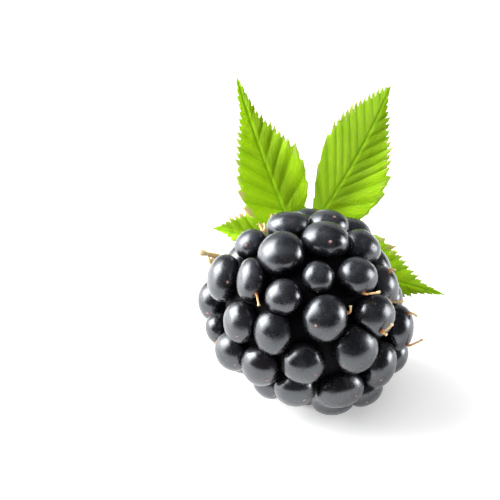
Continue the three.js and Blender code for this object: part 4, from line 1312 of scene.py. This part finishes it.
def make_stalk(material):
    knot = KNOT + OFFSET
    cut = CUT_END + OFFSET
    route = spline([
        fruit_point(0, 0, DISC_BASE - STALK_GAP),
        fruit_point(0, 0, DISC_BASE - STALK_NECK),
        leaned(knot, *STALK_SHOULDER),
        knot,
        knot.lerp(cut, 0.5) + STALK_SAG,
        cut,
    ], STALK_STEPS)
    points, cut_face = [], []
    side = Vector((1, 0, 0))
    for at, centre in enumerate(route):
        along = (route[min(at + 1, len(route) - 1)] - route[max(at - 1, 0)]).normalized()
        side = (side - along * side.dot(along)).normalized()
        other = along.cross(side)
        share = at / (len(route) - 1)
        for number in range(STALK_SIDES):
            angle = 2 * math.pi * number / STALK_SIDES
            radius = stalk_radius(angle, share, (centre - knot).length)
            points.append(
                centre + side * (radius * math.cos(angle)) + other * (radius * math.sin(angle)))
            cut_face.append(0)
    faces = grid_faces(len(route), STALK_SIDES, True)
    faces.append(tuple(range(STALK_SIDES - 1, -1, -1)))
    last = (len(route) - 1) * STALK_SIDES
    inner = len(points)
    for point in points[last:]:
        outward = (route[-1] - route[-2]).normalized()
        points.append(point.lerp(cut, CUT_RIM) + outward * CUT_BULGE)
        cut_face.append(1)
    faces += grid_faces(2, STALK_SIDES, True, last)
    faces.append(tuple(range(inner, inner + STALK_SIDES)))
    piece = mesh_piece("stalk_with_knot", points, faces, material)
    set_values(piece.data, "cut", cut_face)
    return piece


# ---- Leaflets ------------------------------------------------------------------------------------

def half_width(leaflet, side, share):
    inside = min(max(share, 0), 1)
    stretch = math.log(0.5) / math.log(side.widest)
    swell = max(0, math.sin(math.pi * inside ** stretch))
    if inside < side.widest:
        return side.width * swell
    return max(side.width * swell ** side.taper, POINT_SLOPE * leaflet.length * (1 - inside))


def tooth_reach(row, side_seed):
    """How far the edge stands out, from -0.4 in a notch to 0.6 at a full tooth.

    Teeth point forward, are of uneven height, and carry a small tooth on their long side.
    """
    phase = row % 2
    number = math.floor(row / 2) + (0 if phase < TOOTH_BACK else 1)
    height = TOOTH_HEIGHT + TOOTH_UNEVEN * noise.noise(Vector((number * TOOTH_STEP, side_seed, 0)))
    if phase < TOOTH_BACK:
        fallen = height * (phase / TOOTH_BACK) ** TOOTH_BACK_CURVE
        return (height - NOTCH) - fallen - NOTCH * phase / TOOTH_BACK
    run = (phase - TOOTH_BACK) / (2 - TOOTH_BACK)
    small = SMALL_TOOTH * max(0, 1 - abs(run - SMALL_TOOTH_PLACE) / SMALL_TOOTH_SPREAD)
    return -2 * NOTCH + (height + NOTCH) * run ** TOOTH_CURVE + small


def leaflet_axes(leaflet):
    turn = math.radians(leaflet.turn)
    lift = math.radians(leaflet.lift)
    flat = ACROSS * math.sin(turn) + RISE * math.cos(turn)
    along = flat * math.cos(lift) + FACE * math.sin(lift)
    aside = ACROSS * math.cos(turn) - RISE * math.sin(turn)
    return along, aside, aside.cross(along)


def meet_outline(leaflet, side, start, slant):
    """How far aside a line that starts on the midrib and runs at a slant meets the outline."""
    reach = half_width(leaflet, side, start / leaflet.length)
    for _ in range(OUTLINE_ROUNDS):
        along = (start + slant * reach) / leaflet.length
        reach = 0.5 * (reach + half_width(leaflet, side, along))
    return reach


def petiolule_width(share):
    if share < PETIOLULE_END:
        return PETIOLULE_HALF_WIDTH
    thinned = 1 - PETIOLULE_THINNING * (share - PETIOLULE_END)
    return PETIOLULE_HALF_WIDTH * max(PETIOLULE_LEAST, thinned)


def blade_row(leaflet, row):
    """Points of one row: place aside, place along, rise, share of the width, veins, edge value."""
    start = leaflet.length * row / (2 * leaflet.teeth)
    share = start / leaflet.length
    on_blade = row > 0
    vein_phase = leaflet.veins_a_row * (
        row + CROWDING * (1 - math.exp(-max(row, 0) / CROWDED_ROWS)))
    ridge = 2 * abs(math.sin(math.pi * vein_phase)) ** PLEAT_ROUND - 1 if on_blade else 0
    pleat = PLEAT * (VEINS_A_ROW / leaflet.veins_a_row) ** PLEAT_CROWDED
    line = []
    for column in range(-BLADE_COLUMNS, BLADE_COLUMNS + 1):
        side = leaflet.left if column < 0 else leaflet.right
        slant = side.slant * min(max(share / FULL_SLANT, 0), 1)
        u = abs(column) / BLADE_COLUMNS
        reach = meet_outline(leaflet, side, start, slant)
        notch = min(TOOTH, TOOTH_SHARE * reach)
        tooth = tooth_reach(row, leaflet.turn + (column < 0))
        edge = max(reach + notch * tooth, petiolule_width(share))
        x = edge * (COLUMN_EVEN * u + (1 - COLUMN_EVEN) * u ** COLUMN_CROWDING)
        near_edge = float(smooth_step(EDGE_ZONE, 1.0, u))
        point_forward = 0.5 + 0.5 * math.cos(math.pi * (row % 2))
        bend = TOOTH_SWEEP * notch * point_forward * near_edge if on_blade else 0
        s = min(start + slant * x + bend, leaflet.length)
        rise = math.tan(math.radians(BLADE_FOLD)) * x
        rise += 0.5 * pleat * ridge * min(1, x / PLEAT_START)
        rise -= MIDRIB_GROOVE * hump(x, GROOVE_SPREAD)
        dry_point = POINT_DRYNESS * float(smooth_step(POINT_BROWN, 1.0, share))
        tip = max(0, near_edge * (2 * NOTCH + tooth) + dry_point) if on_blade else 0
        line.append((math.copysign(x, column), s, rise, u, vein_phase, tip))
    return line


def blade_point(leaflet, axes, x, s, height):
    along, aside, out = axes
    share = min(max(s / leaflet.length, 0), 1)
    wave = math.sin(math.pi * share)
    curl = CURL * math.sin(CURL_WAVES * share + leaflet.turn) * (abs(x) / CURL_WIDTH)
    return (KNOT + OFFSET + along * (leaflet.start + s) + aside * (x + leaflet.bow * wave)
            + out * (height + leaflet.arch * wave + curl))


def blade_depths(x, u, share):
    """How far the blade's faces stand off its middle, above and below, and how much is blade.

    The leaflet's own stalk is round and becomes the flat blade with its midrib.
    """
    stalk = 1 - float(smooth_step(PETIOLULE_TURN, PETIOLULE_END, share))
    blade = 0.5 * BLADE_THICKNESS * (1 - BLADE_THINNING * u ** 3)
    rib = MIDRIB_DEPTH * (1 - MIDRIB_TAPER * max(share, 0)) * hump(x, MIDRIB_SPREAD)
    stem = PETIOLULE_HALF_WIDTH * math.sqrt(max(0, 1 - u * u)) + PETIOLULE_SIDE
    above = blade * (1 - stalk) + PETIOLULE_TOP * stem * stalk
    below = (blade + rib) * (1 - stalk) + stem * stalk
    return above, below, 1 - stalk


def make_leaflet(leaflet, material):
    axes = leaflet_axes(leaflet)
    stalk_length = leaflet.start - KNOT_CORE - KNOT_CLEARANCE
    rows_along = 2 * leaflet.teeth
    rows = [-stalk_length * rows_along / leaflet.length * share for share in PETIOLULE_ROWS]
    rows += [number * 2 / ROWS_A_TOOTH for number in range(leaflet.teeth * ROWS_A_TOOTH + 1)]
    upper, lower, pattern = [], [], []
    values = {"edge": [], "pale": [], "dry": []}
    for row in rows:
        for x, s, rise, u, phase, tip in blade_row(leaflet, row):
            above, below, blade_share = blade_depths(x, u, row / rows_along)
            place = Vector((x * QUILT_FINENESS, s * QUILT_FINENESS, leaflet.turn))
            quilt = QUILT * noise.noise(place) * blade_share
            upper.append(blade_point(leaflet, axes, x, s, rise + quilt + above))
            lower.append(blade_point(leaflet, axes, x, s, rise + quilt - below))
            pattern.append((x / PATTERN_SCALE, phase * VEIN_UNIT))
            side = leaflet.left if x < 0 else leaflet.right
            values["edge"].append(tip)
            values["pale"].append(side.pale)
            values["dry"].append(side.dry)
    faces = sheet_faces(len(rows), 2 * BLADE_COLUMNS + 1)
    piece = mesh_piece(leaflet.name + "_blade", upper + lower, faces, material)
    for name, numbers in values.items():
        set_values(piece.data, name, numbers + numbers)
    layer = piece.data.uv_layers.new(name="pattern")
    corners = np.empty(len(piece.data.loops), dtype=np.int32)
    piece.data.loops.foreach_get("vertex_index", corners)
    layer.data.foreach_set("uv", np.array(pattern + pattern, dtype=np.float32)[corners].ravel())
    return piece


def make_bristles(leaflet, material):
    """A short bristle on every tooth, large and small."""
    axes = leaflet_axes(leaflet)
    strands = []
    for tooth in range(2, 2 * leaflet.teeth - 2):
        line = blade_row(leaflet, tooth + (0 if tooth % 2 == 0 else SMALL_TOOTH_ROW))
        for at, inward in ((0, 2), (-1, -3)):
            inner = blade_point(leaflet, axes, *line[inward][:3])
            tip = blade_point(leaflet, axes, *line[at][:3])
            way = (tip - inner).normalized() + axes[0] * BRISTLE_FORWARD
            end = tip + way.normalized() * (BRISTLE + BRISTLE_UNEVEN * (tooth % 3))
            strands.append(([inner, tip, tip.lerp(end, 0.5), end], BRISTLE_WIDTHS))
    return grow(
        leaflet.name + "_bristles", line_seeds("bristle_lines", strands), STRANDS,
        Sides=BRISTLE_SIDES, Material=material)


# ---- Camera, lights and floor --------------------------------------------------------------------

def aim(thing, target):
    thing.rotation_euler = (Vector(target) - thing.location).to_track_quat("-Z", "Y").to_euler()


def make_camera():
    lean = math.radians(VIEW_ELEVATION)
    up = Vector((0, math.sin(lean), math.cos(lean)))
    towards = Vector((0, -math.cos(lean), math.sin(lean)))
    target = Vector(FRUIT_MIDDLE) + Vector((FRAME_MIDDLE[0], 0, 0)) + up * FRAME_MIDDLE[1]
    data = bpy.data.cameras.new("camera")
    data.sensor_width = SENSOR_WIDTH
    data.lens = SENSOR_WIDTH * VIEW_DISTANCE / FRAME_WIDTH
    data.clip_start = CLIP_NEAR
    data.clip_end = CLIP_FAR
    camera = bpy.data.objects.new("camera", data)
    bpy.context.scene.collection.objects.link(camera)
    camera.location = (target + towards * VIEW_DISTANCE) * MM
    aim(camera, target * MM)
    bpy.context.scene.camera = camera


def area_light(name, place, size, radiance):
    """A soft box whose energy follows from its size and from how bright it is to look at."""
    data = bpy.data.lights.new(name, "AREA")
    data.shape = "RECTANGLE"
    data.size = size[0] * MM
    data.size_y = size[1] * MM
    data.energy = radiance * math.pi * data.size * data.size_y
    light = bpy.data.objects.new(name, data)
    bpy.context.scene.collection.objects.link(light)
    light.location = Vector(place) * MM
    aim(light, Vector(LIGHTS_MEET) * MM)
    return light


def make_studio():
    for soft_box in LIGHTS:
        area_light(*soft_box)
    area_light(*CEILING).visible_glossy = False
    world = bpy.data.worlds.new("studio")
    world.use_nodes = True
    sky = world.node_tree.nodes["Background"]
    sky.inputs["Color"].default_value = SKY
    sky.inputs["Strength"].default_value = SKY_STRENGTH
    bpy.context.scene.world = world
    bpy.context.scene.view_settings.view_transform = "Standard"
    corners = [
        (x * FLOOR_REACH, y * FLOOR_REACH, 0) for x, y in ((-1, -1), (1, -1), (1, 1), (-1, 1))]
    mesh_piece("floor", corners, [(0, 1, 2, 3)], floor_white())


# ---- Putting it together -------------------------------------------------------------------------

STRANDS = strands_tree()


def settle(piece, slot, *nodes):
    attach(piece, "root")
    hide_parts(*nodes)


def main():
    make_camera()
    make_studio()
    styles = find_styles()
    scars = find_scars(styles)
    settle(make_drupelets(styles, scars), "berry", "berry")
    settle(make_core(), "berry", "berry")
    settle(make_styles(styles), "dried_stamens", "berry")
    settle(make_scars(scars), "dried_stamens", "berry")
    settle(make_calyx(sepal_down()), "calyx", "calyx")
    straw = stamen_straw()
    settle(make_stamens(straw), "dried_stamens", "dried_stamens")
    settle(make_stalk(stalk_bark()), "stalk", "stalk")
    blade = leaf_green()
    for leaflet in LEAFLETS:
        settle(make_leaflet(leaflet, blade), "leaf", leaflet.name)
        settle(make_bristles(leaflet, straw), "leaf", leaflet.name)


main()
